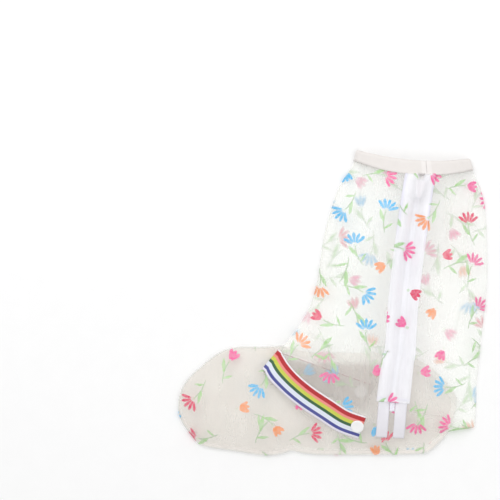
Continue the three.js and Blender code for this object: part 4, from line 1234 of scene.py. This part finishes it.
for i in range(zip_start, flap_end + 1):
    upper = 1 - smooth_step(np.array(i * ZIP_SPACING), 60 * MM, 90 * MM)
    from_end = abs((flap_end - i) * ZIP_SPACING - 4 * MM)
    foot_line = 0.6 * (1 - float(smooth_step(np.array(from_end), 0.8 * MM, 2.0 * MM)))
    for away in flap_columns:
        side_gap = TAPE_OUTER + FLAP_OVERLAP - abs(away)
        near_edge = 1 - smooth_step(np.array(side_gap), 2.2 * MM, 3.4 * MM)
        edge_share.append(max(foot_line, float(near_edge * (0.35 + 0.65 * upper))))
mark(flap, "weld", edge_share)
mark(flap, "pleat_shade", np.zeros(len(edge_share)))

# Mouth band
# A soft pinkish-white binding is folded over the mouth's edge, outside and inside, and stitched.
# Its two ends meet at the zip.
BAND_THICK = 0.8 * MM
band_tree = ray_tree("mouth_band")
band_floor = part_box("mouth_band")[0][2]
front_run = [0.0]
for start, end in zip(leg_rows, leg_rows[1:]):
    front_run.append(front_run[-1] + (leg_place(end, 0) - leg_place(start, 0)).length)


def mouth_place(depth, share):
    """A place at a depth below the mouth's edge, or past it where the depth is negative."""
    if depth < 0:
        top, below = leg_place(leg_rows[0], share), leg_place(leg_rows[1], share)
        return top + (top - below).normalized() * -depth
    k = max(0, next(i for i, run in enumerate(front_run) if run >= depth) - 1)
    part = (depth - front_run[k]) / (front_run[k + 1] - front_run[k])
    return leg_place(leg_rows[k], share).lerp(leg_place(leg_rows[k + 1], share), part)


def band_hits(x, y):
    first = band_tree.ray_cast(Vector((x, y, SKY)), DOWN)[0]
    last = band_tree.ray_cast(Vector((x, y, -SKY)), UP)[0]
    return (first.z, last.z) if first and last else None


BAND_STEPS = 150
BAND_DEPTHS = [BAND_HEIGHT - 1.4 * MM - k * 1.3 * MM for k in range(8)]
INSIDE_DROP = 3.6 * MM
BAND_DROP, BAND_LIE, JOINT_LOOK = 4.9 * MM, 1.4 * MM, 0.014
joint_share = min(
    (k / 400 for k in range(401)), key=lambda s: abs(leg_place(leg_rows[0], s).x - zip_line[0].x - 2 * MM)
)
JOINT_HALF = 0.0006
round_shares = [(share, "near") for share in np.linspace(joint_share + JOINT_HALF, 0.997, BAND_STEPS // 2)]
round_shares += [(1.0, "fold")]
round_shares += [(share, "far") for share in np.linspace(0.997, 0.003, BAND_STEPS)]
round_shares += [(0.0, "fold")]
round_shares += [(share, "near") for share in np.linspace(0.003, joint_share - JOINT_HALF, BAND_STEPS // 2)]
points, places, seam_share = [], [], []
run = 0.0
wide = 2 * len(BAND_DEPTHS) + 3
for k, (share, part) in enumerate(round_shares):
    pull_in = min(max(share, 0.012), 0.988)
    section = []
    gather = noise.noise(Vector((share * 34, 1.7 if part == "near" else 5.1, 0.0)))
    deepen = 1 + BAND_DROP / BAND_DEPTHS[0] * 4 * share * (1 - share) if part == "near" else 1
    for depth in BAND_DEPTHS:
        spot = mouth_place(depth * deepen, share)
        probe = mouth_place(depth, pull_in)
        found = band_hits(*probe) or (band_floor + 2 * MM, band_floor)
        if part == "near":
            beside = [band_hits(*mouth_place(depth, pull_in + step)) for step in (-JOINT_LOOK, JOINT_LOOK)]
            over = max([found[0], film_top(*spot) + BAND_LIE, *(hit[0] for hit in beside if hit)])
            found = (over, found[1])
        middle = (found[0] + found[1]) / 2
        if part == "fold":
            outward = (mouth_place(depth, share) - mouth_place(depth, 0.5)).normalized() * 1.2 * MM
            section.append(((*(spot + outward), middle), (*spot, middle)))
        elif part == "near":
            level = found[0] + 0.12 * MM * gather
            section.append(((*spot, level), (*spot, max(middle, level - INSIDE_DROP))))
        else:
            section.append(((*spot, found[1] + 0.05 * MM), (*spot, min(middle, found[1] + INSIDE_DROP))))
    outer = [pair[0] for pair in section]
    inside = [pair[1] for pair in section]
    lip_spot = mouth_place(-1.3 * MM, share)
    side_spot = mouth_place(-0.8 * MM, share)
    lip = [
        (*side_spot, 0.8 * outer[-1][2] + 0.2 * inside[-1][2]),
        (*lip_spot, 0.5 * outer[-1][2] + 0.5 * inside[-1][2]),
        (*side_spot, 0.2 * outer[-1][2] + 0.8 * inside[-1][2]),
    ]
    column = outer + lip + inside[::-1]
    if k:
        run += (Vector(column[0][:2]) - Vector(points[-wide][:2])).length
    for j, point in enumerate(column):
        points.append(point)
        places.append((j * 1.3 * MM, run))
        joint_gap = abs(share - joint_share) if part == "near" else 1.0
        seam_share.append(1.0 - float(smooth_step(np.array(joint_gap), 0.035, 0.05)))
band_finish, shader, _, cloth = cloth_finish(
    "band_binding", 1.1 * MM, 0.9 * MM, (0.35, 0.4 * MM), Roughness=0.8, Sheen_Weight=0.2
)
band_tone = cloth["Tone"].mix(srgb(226, 221, 217), srgb(238, 233, 230))
feed(shader, Base_Color=(share_of(shader.id_data, "weld") * 0.5).mix(band_tone, srgb(246, 242, 240)))
faces = grid_faces(len(round_shares), wide)
band = new_piece("band_binding", points, faces, band_finish, "mouth_band")
lay_uv(band, places)
mark(band, "weld", seam_share)
give_thickness(band, BAND_THICK)

# Strap
# The real strap is 25 mm striped elastic webbing. It lies over the instep from the outer disc,
# turns round the pleat's edge, and runs back under the leg to the inner disc.
STRAP_WIDTH, STRAP_THICK, STRAP_EASE = 25 * MM, 1.2 * MM, 0.45 * MM
STRAP_ROWS = table(
    "x y",
    (-0.344, 0.264),
    (-0.409, 0.324),
    (-0.477, 0.435),
    (-0.552, 0.565),
    (-0.610, 0.694),
    (-0.646, 0.800),
    (-0.664, 0.880),
)
STRAP_TAIL = {"x": -0.323, "y": 0.565}
RIDGE_ANGLE = math.radians(49.5)
TURN_INSET = 1.6 * MM
TURN_TOP, TAIL_TOP = 12.0 * MM, 5.3 * MM
ACROSS_STEPS, STRAP_STEPS, TURN_STEPS, TAIL_STEPS = 16, 72, 16, 24


def over_foot(row):
    """A place in shares of the foot's length and width, measured from the heel."""
    return Vector((heel.x + row["x"] * foot_length, heel.y + row["y"] * foot_width))


ridge = Vector((math.cos(RIDGE_ANGLE), math.sin(RIDGE_ANGLE)))
outwards = Vector((-ridge.y, ridge.x))
strap_line = resampled([over_foot(row) for row in refine(STRAP_ROWS, 14)], 1.0 * MM, closed=False)
strap_line = [strap_line[round(k * (len(strap_line) - 1) / STRAP_STEPS)] for k in range(STRAP_STEPS)]
turn_spot, tail_spot = over_foot(STRAP_ROWS[-1]), over_foot(STRAP_TAIL)
tail_way = (tail_spot - turn_spot).normalized()
tail_side = Vector((-tail_way.y, tail_way.x))
ridge_length = STRAP_WIDTH / (ridge.x * tail_side.x + ridge.y * tail_side.y)
across = [0.5 - k / ACROSS_STEPS for k in range(ACROSS_STEPS + 1)]

plan = []
for k, spot in enumerate(strap_line):
    share = k / STRAP_STEPS
    way = (strap_line[min(k + 1, STRAP_STEPS - 1)] - strap_line[max(k - 1, 0)]).normalized()
    blend = float(smooth_step(np.array(share), 0.75, 1.0))
    side = Vector((way.y, -way.x)).lerp(ridge, blend).normalized()
    length = STRAP_WIDTH + (ridge_length - STRAP_WIDTH) * blend
    plan.append([spot + side * (place_share * length) for place_share in across])
floor_heights = np.array([
    [max(film_top(*spot) + STRAP_EASE, TURN_TOP) + STRAP_THICK for spot in line] for line in plan
])
heights = floor_heights.copy()
for _ in range(40):
    eased = heights.copy()
    eased[1:-1] = (heights[:-2] + heights[2:]) / 2
    eased[:, 1:-1] = (eased[:, 1:-1] * 2 + heights[:, :-2] + heights[:, 2:]) / 4
    heights = np.maximum(floor_heights, eased)
turn_level = TURN_TOP + STRAP_THICK
heights[-6:] = turn_level + (heights[-6:] - turn_level) * np.linspace(0.8, 0, 6)[:, None]
strap_rows = [
    [(*spot, heights[k][j]) for j, spot in enumerate(line)] for k, line in enumerate(plan)
]
centre = turn_spot - outwards * TURN_INSET
radius = (TURN_TOP - TAIL_TOP) / 2 + STRAP_THICK
for k in range(TURN_STEPS + 1):
    angle = math.pi / 2 - math.pi * k / TURN_STEPS
    strap_rows.append([
        (
            *(centre + ridge * (place_share * ridge_length) + outwards * (radius * math.cos(angle))),
            (TURN_TOP + TAIL_TOP) / 2 + radius * math.sin(angle),
        )
        for place_share in across
    ])
for k in range(1, TAIL_STEPS + 1):
    share = k / TAIL_STEPS
    spot = centre.lerp(tail_spot, share)
    blend = min(1, share * 2)
    side = ridge.lerp(tail_side, blend).normalized()
    length = ridge_length + (STRAP_WIDTH - ridge_length) * blend
    strap_rows.append([
        (*(spot + side * (place_share * length)), TAIL_TOP - STRAP_THICK) for place_share in across
    ])
points = [point for line in strap_rows for point in line]
wide = ACROSS_STEPS + 1
faces = [(d, c, b, a) for a, d, c, b in grid_faces(len(strap_rows), wide)]
places, run = [], 0.0
for k in range(len(strap_rows)):
    if k:
        run += (Vector(strap_rows[k][wide // 2]) - Vector(strap_rows[k - 1][wide // 2])).length
    places += [((0.5 - place_share) * STRAP_WIDTH, run) for place_share in across]

# Colours of the stripes, each from its start as a share of the width
STRIPES = (
    (0.000, srgb(244, 238, 242)),
    (0.060, srgb(186, 4, 24)),
    (0.230, srgb(242, 144, 136)),
    (0.330, srgb(206, 212, 76)),
    (0.480, srgb(42, 96, 56)),
    (0.600, srgb(228, 234, 246)),
    (0.780, srgb(66, 72, 150)),
    (0.910, srgb(238, 234, 246)),
)
ELASTIC = {"rib": 0.95 * MM, "thread": 0.8 * MM, "relief": (0.5, 0.4 * MM), "Roughness": 0.9}
strap_finish, shader, lay, cloth = cloth_finish("striped_elastic", **ELASTIC, Specular_IOR_Level=0.25)
frayed = lay.parts()[0] + cloth["Height"] * (0.08 * MM)
stripes = ramp(frayed / STRAP_WIDTH, STRIPES)
feed(shader, Base_Color=(cloth["Tone"] * 0.10).mix(stripes, srgb(250, 248, 250)))
strap = new_piece("striped_strap", points, faces, strap_finish, "instep_strap")
lay_uv(strap, places)
give_thickness(strap, STRAP_THICK)

# The stripes are woven into the face alone. The back is plain, with a pink and a red edge thread.
BACK_EDGES = (
    (0.000, srgb(252, 236, 236)),
    (0.050, srgb(150, 44, 54)),
    (0.090, srgb(214, 208, 202)),
    (0.940, srgb(222, 214, 216)),
)
back_finish, shader, lay, cloth = cloth_finish("plain_elastic_back", **ELASTIC)
threads = ramp(lay.parts()[0] / STRAP_WIDTH, BACK_EDGES)
feed(shader, Base_Color=(cloth["Tone"] * 0.3).mix(threads, srgb(240, 236, 230)))
strap.data.materials.append(back_finish)
strap.modifiers["wall"].material_offset = 1

# Discs
# Two glossy white plastic buttons are riveted through the strap's ends.
DISC_RADIUS, DISC_THICK = 6.8 * MM, 1.4 * MM
OUTER_DISC, INNER_DISC = {"x": -0.362, "y": 0.278}, {"x": -0.346, "y": 0.588}
DISC_PROFILE = (
    (0.00, 0.82), (0.30, 0.84), (0.52, 0.90), (0.66, 0.99), (0.78, 1.00), (0.90, 0.93), (0.97, 0.76),
    (1.00, 0.50), (0.97, 0.22), (0.90, 0.00), (0.00, 0.00),
)
DISC_SIDES = 48
disc_finish = grained_finish(
    "glossy_disc", 600.0, srgb(240, 240, 240), srgb(250, 250, 250), (0.08, 0.2 * MM),
    Roughness=0.25, Coat_Weight=0.4, Coat_Roughness=0.1,
)
for name, row in (("strap_disc_outer", OUTER_DISC), ("strap_disc_inner", INNER_DISC)):
    spot = over_foot(row)
    up = Vector((0, 0, 1))
    base = Vector((*spot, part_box(name)[0][2]))
    if name == "strap_disc_outer":
        reach = DISC_RADIUS
        slope_x = (film_top(spot.x + reach, spot.y) - film_top(spot.x - reach, spot.y)) / (2 * reach)
        slope_y = (film_top(spot.x, spot.y + reach) - film_top(spot.x, spot.y - reach)) / (2 * reach)
        up = Vector((-slope_x, -slope_y, 1)).normalized()
        strap_tree = BVHTree.FromPolygons([v.co for v in strap.data.vertices], faces)
        level = strap_tree.ray_cast(Vector((*spot, SKY)), DOWN)[0].z
        base = Vector((*spot, level))
    turn_up = Vector((0, 0, 1)).rotation_difference(up)
    ring_points = []
    for reach, level in DISC_PROFILE[1:-1]:
        for k in range(DISC_SIDES):
            angle = 2 * math.pi * k / DISC_SIDES
            local = Vector((
                reach * DISC_RADIUS * math.cos(angle), reach * DISC_RADIUS * math.sin(angle),
                level * DISC_THICK,
            ))
            ring_points.append(base + turn_up @ local)
    rings = len(DISC_PROFILE) - 2
    ring_faces = grid_faces(rings, DISC_SIDES, closed=True)
    ring_faces += [
        tuple(range(DISC_SIDES)), tuple(reversed(range((rings - 1) * DISC_SIDES, rings * DISC_SIDES))),
    ]
    new_piece(name.replace("strap_disc", "glossy_disc"), ring_points, ring_faces, disc_finish, name)
